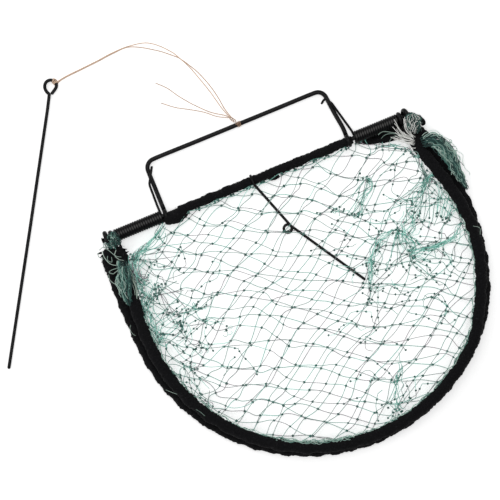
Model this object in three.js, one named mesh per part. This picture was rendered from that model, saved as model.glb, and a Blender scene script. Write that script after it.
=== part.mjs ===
// A spring-loaded bow-net trap, shown sprung shut and lying flat.
//
// Two half-round wire hoops share one bar. The lower hoop, the bar and the square bail behind it
// are one rigid frame that stays on the ground. The upper hoop turns on the bar, and two torsion
// springs snap it down. Netting hangs between the hoops. A trigger needle hooks round the bar, and
// a latch rod hangs on a cord from the bail.
//
// Units are millimetres. The bar lies along X, the hoops reach towards -Y, the bail towards +Y.
// Z = 0 is the ground, and the origin is on it, under the middle of the bar.

import * as THREE from "three";

// ---------------------------------------------------------------- wires, cloth and twine
const FRAME_WIRE = 4.0; // diameter of the bar, both hoops and the bail
const ROD_WIRE = 3.2;
const NEEDLE_WIRE = 2.0;
const SPRING_WIRE = 2.0;
const CORD_WIDTH = 1.0; // the doubled line that holds the latch rod
const LACING_WIDTH = 1.2;
const CLOTH_HALF = 4.8; // from a hoop's centre to the flat outside of its cloth
const CLOTH_INSIDE = 2.35; // from a wire's centre to the flats inside the cloth
const GAP = 0.4; // between pieces that touch on the real thing

// ---------------------------------------------------------------- bar, eyes and heights
const EYE_RADIUS = 4.7; // centreline of a wire curled round the bar
const BAR_HEIGHT = EYE_RADIUS + FRAME_WIRE / 2 + 0.2;
const BAR_HALF_LENGTH = 158.6;
const BAR_HEAD_RADIUS = 3.2; // the peened ends that keep the eyes on
const BAR_HEAD_LENGTH = 1.8;
const LEAD_IN = 12; // how far from the bar a wire is straight again after its eye
const LOWER_HEIGHT = CLOTH_HALF;
const UPPER_HEIGHT = LOWER_HEIGHT + 2 * CLOTH_HALF + GAP;

// ---------------------------------------------------------------- hoop outlines, seen from above
// Each hoop is a left side, a round bow and a right side. Sides are cubic curves.
const LOWER_HOOP = {
  eyeX: 153.5,
  height: LOWER_HEIGHT,
  settledAt: 38, // distance from the bar where the hoop reaches its height
  centre: [11.15, -98.65],
  radius: 172.65,
  bowEnd: -40, // degrees; the bow starts at 180
  leftHandles: [[-165, -29], [-161.9, -68]],
  rightHandles: [[190.4, -150.7], [178.6, -38.7]],
};
const UPPER_HOOP = {
  eyeX: 148.3,
  height: UPPER_HEIGHT,
  settledAt: 75,
  centre: [14.3, -100.2],
  radius: 168.6,
  bowEnd: -45,
  leftHandles: [[-143.5, -31], [-155.2, -62]],
  rightHandles: [[196.3, -126.2], [166.9, -85.4]],
};
const SIDE_STEPS = 8;
const BOW_STEP = 6.5; // degrees
const CLOTH_STARTS = 28; // distance from the bar where the hoop cloth begins
const SHORTEST_STEP = 2; // between two stations of the cloth

// ---------------------------------------------------------------- bail
const BAIL_LEFT_X = -92.8;
const BAIL_RIGHT_X = 94;
const BAIL_RIGHT_TOP_X = 90.3;
const BAIL_REACH = 53.9;
const BAIL_CORNER = 8.5;
const BAIL_HEIGHT = 3.3; // at its far bar, which rests on the turns of cord

// ---------------------------------------------------------------- torsion springs
const SPRING_RADIUS = 4.25; // centreline
const LEFT_SPRING = { innerX: 97.2, turns: 20 };
const RIGHT_SPRING = { innerX: 101.4, turns: 19 };
const SPRING_OUTER_X = 144.4;
const SPRING_STEPS = 8; // stations in a turn

// ---------------------------------------------------------------- cloth on the bar
const BAR_CLOTH_TOP = 4.5; // above the bar's centre
const BAR_CLOTH_EDGES = [-5.1, 3.5]; // the cloth sags towards the hoops
const BINDING_TOP = 6.2;
const BINDING_EDGES = [-6.6, 3.6];
const CLOTH_BEVEL = 1.7;
const BAR_CLOTH_LEFT = -70.8;
const BAR_CLOTH_RIGHT = 90;
const BINDING_LEFT = -90.2;
const NEEDLE_X = -4.6;
const NEEDLE_SLOT = 1.7; // half the bare stretch of bar that the needle turns in

// ---------------------------------------------------------------- trigger needle
const HOOK_RADIUS = 4.0;
const COIL_CENTRE = [9.3, -55.8];
const COIL_RADIUS = 3.85;
const COIL_HEIGHT = 5.6;
const COIL_RISE = 2.5;
const COIL_START = 20; // degrees
const COIL_TURN = 348;
const NEEDLE_TIP = [58.5, -127.8];
const NEEDLE_TIP_HEIGHT = 3.6;

// ---------------------------------------------------------------- latch rod
const ROD_EYE = [-148, 155];
const ROD_EYE_RADIUS = 5.8;
const ROD_EYE_HEIGHT = 2.8; // the cord passes under the eye
const ROD_NECK = [-152.6, 147.1];
const ROD_TIP = [-286.3, -77.4];
const ROD_CORD_ANGLE = 13; // degrees round the eye to the cord's loop, which slides on it

// ---------------------------------------------------------------- netting
const LACING_STARTS = 80; // distance from the bar; nearer to it the tassels gather the net
const NET_THICKNESS = 0.8;
const NET_INSET = 7.2; // from a hoop's centreline to the net's edge
const NET_BAR_GAP = 7;
const MESH_HALF = 17; // half the diagonal of one diamond
const STRAND_HALF = 1.5;
const LOWER_NET_HEIGHT = 1.2; // its underside, clear of the cloth flap
const UPPER_NET_BAR_HEIGHT = BAR_HEIGHT + BAR_CLOTH_TOP + 0.8;

const BLACK_PAINT = { color: 0x15161a, roughness: 0.38, metalness: 0.35 };
const BLACK_CLOTH = { color: 0x18191b, roughness: 0.95, metalness: 0 };
const NET_GREEN = { color: 0xa9cbbd, roughness: 0.7, metalness: 0 };
const TWINE_GREEN = { color: 0x3f6f63, roughness: 0.8, metalness: 0 };
const PALE_TWINE = { color: 0xc4cbb4, roughness: 0.8, metalness: 0 };
const WHITE_THREAD = { color: 0xe6e8e2, roughness: 0.75, metalness: 0 };
const TAN_CORD = { color: 0xc79a7a, roughness: 0.8, metalness: 0 };

const radians = THREE.MathUtils.degToRad;
const vector = (x, y, z) => new THREE.Vector3(x, y, z);

// ================================================================ sweeps

// A curve with a section at each of its stations and nowhere else.
class Stations extends THREE.Curve {
  constructor(points) {
    super();
    this.points = points;
  }

  getPoint(t, target = new THREE.Vector3()) {
    const place = t * (this.points.length - 1);
    const index = Math.min(Math.floor(place + 1e-9), this.points.length - 2);
    return target.lerpVectors(this.points[index], this.points[index + 1], place - index);
  }

  getPointAt(u, target) {
    return this.getPoint(u, target);
  }

  getTangentAt(u, target = new THREE.Vector3()) {
    const last = this.points.length - 1;
    const index = Math.round(u * last);
    const here = this.points[index];
    target.set(0, 0, 0);
    if (index > 0) {
      target.add(here.clone().sub(this.points[index - 1]).normalize());
    }
    if (index < last) {
      target.add(this.points[index + 1].clone().sub(here).normalize());
    }
    return target.normalize();
  }
}

// A regular outline given by the distance from its centre to its flats.
function flatSided(OutlineClass, sides, apothem) {
  const outline = new OutlineClass();
  const corner = apothem / Math.cos(Math.PI / sides);
  const corners = [];
  for (let i = 0; i < sides; i += 1) {
    const angle = ((i + 0.5) * 2 * Math.PI) / sides;
    corners.push(new THREE.Vector2(corner * Math.cos(angle), corner * Math.sin(angle)));
  }
  return outline.setFromPoints(corners);
}

function sweep(section, points) {
  return new THREE.ExtrudeGeometry(section, {
    steps: points.length - 1,
    bevelEnabled: false,
    extrudePath: new Stations(points),
  });
}

function wire(points, diameter, sides = 6) {
  return sweep(flatSided(THREE.Shape, sides, (diameter / 2) * Math.cos(Math.PI / sides)), points);
}

function sleeve(points, outside) {
  const section = flatSided(THREE.Shape, 8, outside);
  section.holes.push(flatSided(THREE.Path, 6, CLOTH_INSIDE));
  return sweep(section, points);
}

// ================================================================ paths

function cubic(from, handles, to, steps) {
  const ends = [from, ...handles, to].map(([x, y]) => new THREE.Vector2(x, y));
  const curve = new THREE.CubicBezierCurve(...ends);
  return curve.getPoints(steps).map((point) => [point.x, point.y]);
}

// A wire's end curled round the bar, from the lead-in to the free end. It lies in the plane at x,
// and side is -1 for a wire that comes from -Y and 1 for one from +Y.
function eye(x, side) {
  const [joins, leaves, step] = [-50, -320, -30];
  const stations = [[LEAD_IN - 2, 0], [8.2, -0.2], [5.6, -1.6]];
  for (let angle = joins; angle >= leaves; angle += step) {
    const turn = radians(angle);
    stations.push([EYE_RADIUS * Math.cos(turn), EYE_RADIUS * Math.sin(turn)]);
  }
  return stations.map(([out, up]) => vector(x, side * out, BAR_HEIGHT + up));
}

function hoopHeight(hoop, distance) {
  const share = THREE.MathUtils.clamp((distance - LEAD_IN) / (hoop.settledAt - LEAD_IN), 0, 1);
  return THREE.MathUtils.lerp(BAR_HEIGHT, hoop.height, share);
}

// The hoop's outline from above without its eyes, left to right, as [x, y] pairs.
function hoopOutline(hoop) {
  const [cx, cy] = hoop.centre;
  const onBow = (angle) => [
    cx + hoop.radius * Math.cos(radians(angle)),
    cy + hoop.radius * Math.sin(radians(angle)),
  ];
  const [bowFrom, bowTo] = [-180, hoop.bowEnd];
  const left = cubic([-hoop.eyeX, -LEAD_IN], hoop.leftHandles, onBow(bowFrom), SIDE_STEPS);
  const right = cubic(onBow(bowTo), hoop.rightHandles, [hoop.eyeX, -LEAD_IN], SIDE_STEPS);
  const bowSteps = Math.round((bowTo - bowFrom) / BOW_STEP);
  const bow = [];
  for (let i = 1; i < bowSteps; i += 1) {
    bow.push(onBow(THREE.MathUtils.lerp(bowFrom, bowTo, i / bowSteps)));
  }
  return [...left, ...bow, ...right];
}

function hoopStations(hoop) {
  return hoopOutline(hoop).map(([x, y]) => vector(x, y, hoopHeight(hoop, -y)));
}

// The stretch of a hoop between two distances from the bar, on one side.
function hoopStretch(hoop, side, from, to, steps) {
  const stations = hoopStations(hoop).filter((point) => side * point.x > 0);
  if (side > 0) {
    stations.reverse();
  }
  const stretch = [];
  for (let i = 0; i <= steps; i += 1) {
    const distance = THREE.MathUtils.lerp(from, to, i / steps);
    const next = stations.findIndex((point) => -point.y > distance);
    const [near, far] = [stations[next - 1], stations[next]];
    const share = (distance + near.y) / (near.y - far.y);
    stretch.push(near.clone().lerp(far, share));
  }
  return stretch;
}

// Moves an outline inwards by a distance, square to its own direction.
function inset(outline, distance) {
  return outline.map(([x, y], i) => {
    const [ax, ay] = outline[Math.max(i - 1, 0)];
    const [bx, by] = outline[Math.min(i + 1, outline.length - 1)];
    const length = Math.hypot(bx - ax, by - ay);
    return [x - (distance * (by - ay)) / length, y + (distance * (bx - ax)) / length];
  });
}

// ================================================================ frame and hoops

function crossBar() {
  const shaft = FRAME_WIRE / 2;
  const neck = BAR_HALF_LENGTH - BAR_HEAD_LENGTH;
  const profile = [
    [0, -BAR_HALF_LENGTH],
    [BAR_HEAD_RADIUS, -BAR_HALF_LENGTH],
    [BAR_HEAD_RADIUS, -neck - 0.6],
    [shaft, -neck],
    [shaft, neck],
    [BAR_HEAD_RADIUS, neck + 0.6],
    [BAR_HEAD_RADIUS, BAR_HALF_LENGTH],
    [0, BAR_HALF_LENGTH],
  ].map(([r, along]) => new THREE.Vector2(r, along));
  return new THREE.LatheGeometry(profile, 8).rotateZ(-Math.PI / 2).translate(0, 0, BAR_HEIGHT);
}

function hoopWire(hoop) {
  const left = eye(-hoop.eyeX, -1).reverse();
  const right = eye(hoop.eyeX, -1);
  return wire([...left, ...hoopStations(hoop), ...right], FRAME_WIRE);
}

// One strip of cloth wound on half of a hoop. The two strips meet in the middle of the bow, halfway
// between two of the hoop's stations.
function hoopCloth(hoop, side) {
  const all = hoopStations(hoop);
  const after = all.findIndex((point) => -point.y > hoop.radius && point.x > hoop.centre[0]);
  const [before, beyond] = [all[after - 1], all[after]];
  const end = before.clone().lerp(beyond, 0.5 + (side * GAP) / 2 / before.distanceTo(beyond));
  const own = all.filter(
    (point, i) => -point.y > CLOTH_STARTS + SHORTEST_STEP && (side < 0 ? i < after : i >= after),
  );
  const [start] = hoopStretch(hoop, side, CLOTH_STARTS, CLOTH_STARTS, 1);
  return sleeve(side < 0 ? [start, ...own, end] : [end, ...own, start], CLOTH_HALF);
}

function bailWire() {
  const corner = (cx, cy, from, to) => {
    const stations = [];
    for (let i = 0; i <= 4; i += 1) {
      const angle = radians(THREE.MathUtils.lerp(from, to, i / 4));
      stations.push([cx + BAIL_CORNER * Math.cos(angle), cy + BAIL_CORNER * Math.sin(angle)]);
    }
    return stations;
  };
  const turnsAt = BAIL_REACH - BAIL_CORNER;
  const outline = [
    [BAIL_LEFT_X, LEAD_IN],
    ...corner(BAIL_LEFT_X + BAIL_CORNER, turnsAt, 180, 90),
    ...corner(BAIL_RIGHT_TOP_X - BAIL_CORNER, turnsAt, 90, 0),
    [BAIL_RIGHT_X, LEAD_IN],
  ];
  const lies = (y) => THREE.MathUtils.clamp((y - LEAD_IN) / (turnsAt - LEAD_IN), 0, 1);
  const stations = outline.map(([x, y]) =>
    vector(x, y, THREE.MathUtils.lerp(BAR_HEIGHT, BAIL_HEIGHT, lies(y))),
  );
  const left = eye(BAIL_LEFT_X, 1).reverse();
  return wire([...left, ...stations, ...eye(BAIL_RIGHT_X, 1)], FRAME_WIRE);
}

// ================================================================ springs

// The coil winds tighter as the upper hoop opens. Its inner leg runs out beside the bail's leg and
// hooks over it, and its outer leg hooks over the upper hoop.
function spring(side, { innerX, turns }, frameLeg) {
  const hoopLeg = [
    [144.2, -8, 3.8],
    [143.9, -14, 7.6],
    [144.4, -19.5, 11],
    [148.4, -23, 12],
    [151.6, -24, 11.4],
  ].map(([x, y, z]) => vector(side * x, y, z));
  const coil = [];
  const stations = turns * SPRING_STEPS;
  for (let i = 0; i <= stations; i += 1) {
    const angle = Math.PI + (i * 2 * Math.PI) / SPRING_STEPS;
    const x = THREE.MathUtils.lerp(innerX, SPRING_OUTER_X, i / stations);
    const y = SPRING_RADIUS * Math.sin(angle);
    coil.push(vector(side * x, y, BAR_HEIGHT + SPRING_RADIUS * Math.cos(angle)));
  }
  return wire([...frameLeg, ...coil, ...hoopLeg], SPRING_WIRE, 4);
}

function leftSpring() {
  const frameLeg = [
    vector(-88.2, 47.2, 7.2),
    vector(-92, 40.5, 7.6),
    vector(-96.6, 33, 7.4),
    vector(-97.4, 10, 3.2),
  ];
  return spring(-1, LEFT_SPRING, frameLeg);
}

function rightSpring() {
  const frameLeg = [
    vector(84.2, 42.1, 6.6),
    vector(88.4, 45.2, 7.2),
    vector(92.8, 39, 7.6),
    vector(101, 6.5, 2.9),
  ];
  return spring(1, RIGHT_SPRING, frameLeg);
}

// ================================================================ cloth on the bar

// A sleeve of cloth on the bar, with a bevelled section. Its flat underside rests on the ground.
function barCloth(fromX, toX, [near, far], top) {
  const down = BAR_HEIGHT;
  const section = new THREE.Shape().setFromPoints(
    [
      [down, near + CLOTH_BEVEL],
      [down, far - CLOTH_BEVEL],
      [down - CLOTH_BEVEL, far],
      [-top + CLOTH_BEVEL, far],
      [-top, far - CLOTH_BEVEL],
      [-top, near + CLOTH_BEVEL],
      [-top + CLOTH_BEVEL, near],
      [down - CLOTH_BEVEL, near],
    ].map(([x, y]) => new THREE.Vector2(x, y)),
  );
  section.holes.push(flatSided(THREE.Path, 6, CLOTH_INSIDE));
  return sweep(section, [vector(fromX, 0, BAR_HEIGHT), vector(toX, 0, BAR_HEIGHT)]);
}

function barWrap(fromX, toX) {
  return barCloth(fromX, toX, BAR_CLOTH_EDGES, BAR_CLOTH_TOP);
}

// The thicker lump of cloth that binds the bail's left leg to the bar.
function bailBinding() {
  return barCloth(BINDING_LEFT, BAR_CLOTH_LEFT - GAP, BINDING_EDGES, BINDING_TOP);
}

// The loose end of the bar's cloth, which lies on the ground under the right spring.
function clothFlap() {
  const outline = [
    [104, -3],
    [104, -5.7],
    [115, -10.4],
    [127, -15.6],
    [144, -12.3],
    [144, -3],
  ].map(([x, y]) => new THREE.Vector2(x, y));
  const flap = new THREE.Shape().setFromPoints(outline);
  return new THREE.ExtrudeGeometry(flap, { depth: 0.7, bevelEnabled: false }).translate(0, 0, 0.2);
}

// ================================================================ netting

function insideOutline([x, y], outline) {
  let inside = false;
  for (let i = 0, j = outline.length - 1; i < outline.length; j = i, i += 1) {
    const [ax, ay] = outline[i];
    const [bx, by] = outline[j];
    if (ay > y !== by > y && x < ax + ((y - ay) * (bx - ax)) / (by - ay)) {
      inside = !inside;
    }
  }
  return inside;
}

function diamond(x, y, half) {
  return [[x - half, y], [x, y - half], [x + half, y], [x, y + half]];
}

// A sheet of netting as one plate with diamond openings.
function netPlate(hoop, edge) {
  const outline = inset(hoopOutline(hoop), NET_INSET).filter(([, y]) => y < -edge);
  const [leftEnd, rightEnd] = [outline[0], outline[outline.length - 1]];
  const border = [[leftEnd[0], -edge], ...outline, [rightEnd[0], -edge]];
  const asPoints = (pairs) => pairs.map(([x, y]) => new THREE.Vector2(x, y));
  const sheet = new THREE.Shape(asPoints(border));
  const [columns, rows] = [10, 16];
  for (let row = 1; row <= rows; row += 1) {
    for (let column = -columns; column <= columns; column += 1) {
      const [x, y] = [column * MESH_HALF, -edge - row * MESH_HALF];
      const clear = diamond(x, y, MESH_HALF);
      if ((row + column) % 2 === 0 && clear.every((point) => insideOutline(point, border))) {
        sheet.holes.push(new THREE.Path(asPoints(diamond(x, y, MESH_HALF - STRAND_HALF))));
      }
    }
  }
  return new THREE.ExtrudeGeometry(sheet, { depth: NET_THICKNESS, bevelEnabled: false });
}

function lowerNet() {
  return netPlate(LOWER_HOOP, NET_BAR_GAP).translate(0, 0, LOWER_NET_HEIGHT);
}

// The upper sheet slopes from the top of the bar's cloth to the upper hoop.
function upperNet() {
  const reach = UPPER_HOOP.radius - UPPER_HOOP.centre[1];
  const slope = Math.atan2(UPPER_HEIGHT - UPPER_NET_BAR_HEIGHT, reach);
  return netPlate(UPPER_HOOP, NET_BAR_GAP).rotateX(-slope).translate(0, 0, UPPER_NET_BAR_HEIGHT);
}

// The twine that ties the net's edge meshes to a hoop, at a height above the hoop's centre.
function netLacing(hoop, lift) {
  const clear = CLOTH_HALF / Math.cos(Math.PI / 8) + LACING_WIDTH / 2 + 0.15;
  const edge = inset(hoopOutline(hoop), clear).filter(([, y]) => -y >= LACING_STARTS);
  const stations = edge.map(([x, y]) => vector(x, y, hoopHeight(hoop, -y) + lift));
  return wire(stations, LACING_WIDTH, 4);
}

// A saddle over the top of the upper hoop's cloth, between two distances from the bar.
function saddle(side, from, to, thickness) {
  const inside = CLOTH_HALF / Math.cos(Math.PI / 8) + 0.3;
  const outside = inside + thickness;
  const steps = 6;
  const spread = radians(62);
  const arc = (radius, sign) => {
    const points = [];
    for (let i = 0; i <= steps; i += 1) {
      const angle = sign * THREE.MathUtils.lerp(-spread, spread, i / steps);
      points.push(new THREE.Vector2(-radius * Math.cos(angle), radius * Math.sin(angle)));
    }
    return points;
  };
  const section = new THREE.Shape().setFromPoints([...arc(outside, 1), ...arc(inside, -1)]);
  return sweep(section, hoopStretch(UPPER_HOOP, side, from, to, 3));
}

// ================================================================ trigger needle

function triggerNeedle() {
  const [cx, cy] = COIL_CENTRE;
  const stations = [];
  for (let angle = -210; angle <= 90; angle += 30) {
    const turn = radians(angle);
    const [out, up] = [HOOK_RADIUS * Math.cos(turn), HOOK_RADIUS * Math.sin(turn)];
    stations.push(vector(NEEDLE_X, out, BAR_HEIGHT + up));
  }
  stations.push(vector(NEEDLE_X + 0.2, -5.5, BAR_HEIGHT + HOOK_RADIUS - 0.4));
  const coilSteps = 16;
  for (let i = 0; i <= coilSteps; i += 1) {
    const angle = radians(COIL_START - (COIL_TURN * i) / coilSteps);
    const z = COIL_HEIGHT + COIL_RISE * (0.5 - i / coilSteps);
    stations.push(vector(cx + COIL_RADIUS * Math.cos(angle), cy + COIL_RADIUS * Math.sin(angle), z));
  }
  stations.push(vector(...NEEDLE_TIP, NEEDLE_TIP_HEIGHT));
  return wire(stations, NEEDLE_WIRE);
}

// ================================================================ latch rod and cord

function rodEyePoint(angle) {
  const turn = radians(angle);
  const [cx, cy] = ROD_EYE;
  return [cx + ROD_EYE_RADIUS * Math.cos(turn), cy + ROD_EYE_RADIUS * Math.sin(turn)];
}

function latchRod() {
  const [joins, ends, step] = [-80, 214, 24.5];
  const stations = [vector(...ROD_TIP, ROD_WIRE / 2), vector(...ROD_NECK, ROD_EYE_HEIGHT - 0.1)];
  for (let angle = joins; angle <= ends; angle += step) {
    stations.push(vector(...rodEyePoint(angle), ROD_EYE_HEIGHT));
  }
  return wire(stations, ROD_WIRE);
}

// Two turns of the cord round the bail's far bar.
function cordTurns() {
  const [turns, stepsInTurn] = [2, 8];
  const radius = FRAME_WIRE / 2 + GAP + CORD_WIDTH / 2;
  const pitch = CORD_WIDTH + 0.5;
  const stations = [];
  for (let i = 0; i <= turns * stepsInTurn; i += 1) {
    const angle = (i * 2 * Math.PI) / stepsInTurn;
    const x = 2.2 + (pitch * i) / stepsInTurn;
    const y = BAIL_REACH + radius * Math.sin(angle);
    stations.push(vector(x, y, BAIL_HEIGHT + radius * Math.cos(angle)));
  }
  return wire(stations, CORD_WIDTH, 4);
}

// The doubled cord from the bail's knot to a loop round the rim of the rod's eye.
function tieCord() {
  const lie = CORD_WIDTH / 2 + 0.1;
  const run = new THREE.CatmullRomCurve3(
    [
      vector(-1.2, 62.4, 3.4),
      vector(-7, 80.5, lie),
      vector(-18.8, 123, lie),
      vector(-42, 151, lie),
      vector(-68, 162.3, lie),
      vector(-98, 161, lie),
      vector(-128, 159, 1.4),
    ],
    false,
    "centripetal",
  ).getPoints(18);
  const [rimX, rimY] = rodEyePoint(ROD_CORD_ANGLE);
  const radius = ROD_WIRE / 2 + 0.3 + CORD_WIDTH / 2;
  const loop = [];
  for (let angle = 0; angle <= 300; angle += 30) {
    const turn = radians(angle);
    const out = radius * Math.cos(turn);
    loop.push(vector(rimX + out, rimY - 0.25 * out, ROD_EYE_HEIGHT - radius * Math.sin(turn)));
  }
  return wire([...run, ...loop], CORD_WIDTH, 4);
}

// ================================================================ the whole trap

const trap = new THREE.Group();

function add(name, geometry, look) {
  const piece = new THREE.Mesh(geometry, new THREE.MeshStandardMaterial(look));
  piece.name = name;
  trap.add(piece);
}

add("cross_bar", crossBar(), BLACK_PAINT);
add("lower_hoop", hoopWire(LOWER_HOOP), BLACK_PAINT);
add("upper_hoop", hoopWire(UPPER_HOOP), BLACK_PAINT);
add("anchor_bail", bailWire(), BLACK_PAINT);
add("left_spring", leftSpring(), BLACK_PAINT);
add("right_spring", rightSpring(), BLACK_PAINT);

for (const [side, word] of [[-1, "left"], [1, "right"]]) {
  add(`lower_wrap_${word}`, hoopCloth(LOWER_HOOP, side), BLACK_CLOTH);
  add(`upper_wrap_${word}`, hoopCloth(UPPER_HOOP, side), BLACK_CLOTH);
  add(`net_tassel_${word}`, saddle(side, 44, 76, 1.8), TWINE_GREEN);
}
add("bar_wrap_left", barWrap(BAR_CLOTH_LEFT, NEEDLE_X - NEEDLE_SLOT), BLACK_CLOTH);
add("bar_wrap_right", barWrap(NEEDLE_X + NEEDLE_SLOT, BAR_CLOTH_RIGHT), BLACK_CLOTH);
add("bail_binding_left", bailBinding(), BLACK_CLOTH);
add("cloth_flap_right", clothFlap(), BLACK_CLOTH);
add("twine_lashing_left", saddle(-1, 28, 43, 1.2), PALE_TWINE);
add("thread_lashing_right", saddle(1, 28, 43, 1.2), WHITE_THREAD);

add("lower_net", lowerNet(), NET_GREEN);
add("upper_net", upperNet(), NET_GREEN);
add("lower_net_lacing", netLacing(LOWER_HOOP, 0.8 - LOWER_HEIGHT), TWINE_GREEN);
add("upper_net_lacing", netLacing(UPPER_HOOP, 1), TWINE_GREEN);

add("trigger_needle", triggerNeedle(), BLACK_PAINT);
add("latch_rod", latchRod(), BLACK_PAINT);
add("tie_cord", tieCord(), TAN_CORD);
add("cord_turns", cordTurns(), TAN_CORD);

export default trap;
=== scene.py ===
"""The looks of a spring-loaded bow-net trap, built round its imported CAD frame.

Lengths are millimetres in the part's own frame until a mesh is made. The bar lies along X, the
hoops reach towards -Y, the bail towards +Y, and Z = 0 is the ground.
"""

import math

import bpy
import numpy as np
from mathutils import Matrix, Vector


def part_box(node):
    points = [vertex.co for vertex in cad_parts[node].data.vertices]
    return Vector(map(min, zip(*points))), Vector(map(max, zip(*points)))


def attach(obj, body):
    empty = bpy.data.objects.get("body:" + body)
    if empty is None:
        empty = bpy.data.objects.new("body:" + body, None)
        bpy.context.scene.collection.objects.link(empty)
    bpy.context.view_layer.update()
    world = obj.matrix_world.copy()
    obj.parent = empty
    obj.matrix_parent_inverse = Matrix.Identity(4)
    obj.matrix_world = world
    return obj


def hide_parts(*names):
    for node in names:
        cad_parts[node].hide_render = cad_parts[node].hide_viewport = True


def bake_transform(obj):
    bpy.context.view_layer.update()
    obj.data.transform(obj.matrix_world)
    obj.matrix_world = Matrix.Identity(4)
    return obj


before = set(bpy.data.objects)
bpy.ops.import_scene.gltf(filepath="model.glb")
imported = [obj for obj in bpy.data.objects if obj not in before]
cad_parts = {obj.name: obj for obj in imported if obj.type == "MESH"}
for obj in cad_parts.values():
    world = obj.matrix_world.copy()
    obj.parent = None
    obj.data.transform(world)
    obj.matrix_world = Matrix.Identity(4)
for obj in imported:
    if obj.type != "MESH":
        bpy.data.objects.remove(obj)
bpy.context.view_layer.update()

MM = 0.001
TURN = 2 * math.pi
UP = np.array([0.0, 0.0, 1.0])


def box_mm(node):
    low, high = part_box(node)
    return np.array(low) / MM, np.array(high) / MM


# -------- frame, springs, needle and rod
FRAME_WIRE = 4.3  # with its paint
ROD_WIRE = 3.2
NEEDLE_WIRE = 2.7
SPRING_WIRE = 2.3  # with its paint
COIL_WIRE = 2.5  # the paint bridges the turns
CLOTH_HALF = 4.8  # half the height of the cloth on the hoops
WRAP_HALF = 5.9  # half its width
WRAP_START = 14.0  # from the bar
WRAP_INSET = 0.4  # of the cloth's middle from the wire's
EYE_RADIUS = 4.7
LEAD_IN = 12.0  # from the bar to the start of a wire's eye

BAR_LOW, BAR_HIGH = box_mm("cross_bar")
BAR_HEIGHT = (BAR_LOW[2] + BAR_HIGH[2]) / 2
BAR_END = BAR_HIGH[0]
BAR_HEAD = 1.8
BAR_HEAD_RADIUS = 3.2
LOWER_HEIGHT = box_mm("lower_wrap_left")[0][2] + CLOTH_HALF
UPPER_HEIGHT = box_mm("upper_wrap_left")[1][2] - CLOTH_HALF

# The reach is of the left and right eye beyond the bar. Inwards and lean are the right eye's.
LOWER_HOOP = {
    "eye_x": 153.5,
    "reach": (6.3, 6.4),
    "inwards": 0.2,
    "lean": 0.35,
    "height": LOWER_HEIGHT,
    "settled_at": 38.0,
    "centre": (11.15, -98.65),
    "radius": 172.65,
    "bow_end": -40.0,
    "left": ((-165.0, -29.0), (-161.9, -68.0)),
    "right": ((190.4, -150.7), (178.6, -38.7)),
}
UPPER_HOOP = {
    "eye_x": 148.3,
    "reach": (EYE_RADIUS, 5.0),
    "inwards": 1.0,
    "lean": 0.0,
    "height": UPPER_HEIGHT,
    "settled_at": 75.0,
    "centre": (14.3, -100.2),
    "radius": 168.6,
    "bow_end": -45.0,
    "left": ((-143.5, -31.0), (-155.2, -62.0)),
    "right": ((196.3, -126.2), (166.9, -85.4)),
}

BAIL_LEFT, BAIL_RIGHT, BAIL_RIGHT_TOP = -92.8, 94.0, 90.3
BAIL_REACH = 53.9
BAIL_CORNER = 8.5
BAIL_HEIGHT = 3.3

SPRING_RADIUS = 4.95
SPRING_OUTER = 144.4
SPRING_HOOK = [
    (144.2, -8, 3.8), (143.9, -14, 7.6), (144.4, -19.5, 11), (148.4, -23, 12), (151.6, -24, 11.4),
]
LEFT_SPRING = {
    "inner": 97.2,
    "turns": 20,
    "leg": [(-88.2, 47.2, 7.2), (-92, 40.5, 7.6), (-96.6, 33, 7.4), (-97.4, 10, 3.2)],
}
RIGHT_SPRING = {
    "inner": 101.4,
    "turns": 19,
    "leg": [(84.2, 42.1, 6.6), (88.4, 45.2, 7.2), (92.8, 39, 7.6), (101, 6.5, 2.9)],
}
CREST_SHIFT = -1.2  # the painted highlight line along the turns, from the top of the coil

NEEDLE_X = -4.6
HOOK_RADIUS = 4.0
COIL_CENTRE = (9.3, -55.8)
COIL_RADIUS = 3.85
COIL_HEIGHT = 5.6
COIL_RISE = 2.5
NEEDLE_TIP = (58.5, -127.8, 3.6)

ROD_EYE = (-148.0, 155.0)
ROD_EYE_RADIUS = 5.8
ROD_EYE_HEIGHT = 2.8
ROD_NECK = (-152.2, 148.4)
ROD_TIP = (-286.3, -77.4)

# -------- netting, twine and cord
MESH_BAR = 19.0  # twine between two knots
MESH_HALF_WIDTH = 16.3  # of one diamond, which hangs with its long way along the bar
MESH_HALF_HEIGHT = 9.8
NET_DEPTH = 280.0
FIRST_ROW = 5.6  # from the bar's axis
STRAND = 0.32  # radius
LINT = 0.075  # radius of a loose fibre
KNOT = 0.37  # radius of the twine in a knot
GROUND = 0.5  # the least height of sheet strands, lacing and cord loops
STEP = 1.6  # between the points of a bundled strand
LACING = 0.32  # radius
LOWER_PHASE, UPPER_PHASE = 4.0, -9.0  # where the first meshes start along the bar
CORD = 0.48  # radius of one strand
CORD_LOOP = 2.25  # radius of the cord's turns round the rod's eye


# ======== curves


def rng_for(seed):
    return np.random.default_rng(seed)


def clipped(value, start, end):
    """How far a value is on its way from the start to the end, kept within 0 and 1."""
    return np.clip((value - start) / (end - start), 0, 1)


def fade(value, start, end):
    share = clipped(value, start, end)
    return share * share * (3 - 2 * share)


def lengths_along(path):
    gaps = np.linalg.norm(np.diff(path, axis=0), axis=1)
    return np.concatenate([[0.0], np.cumsum(gaps)])


def resample(path, spacing):
    """The same path with points an even distance apart."""
    path = np.asarray(path, float)
    reach = lengths_along(path)
    count = max(3, int(round(reach[-1] / spacing)) + 1)
    even = np.linspace(0, reach[-1], count)
    return np.stack([np.interp(even, reach, path[:, k]) for k in range(path.shape[1])], axis=1)


def resample_to(path, count):
    path = np.asarray(path, float)
    return resample(path, lengths_along(path)[-1] / (count - 1))


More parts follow.
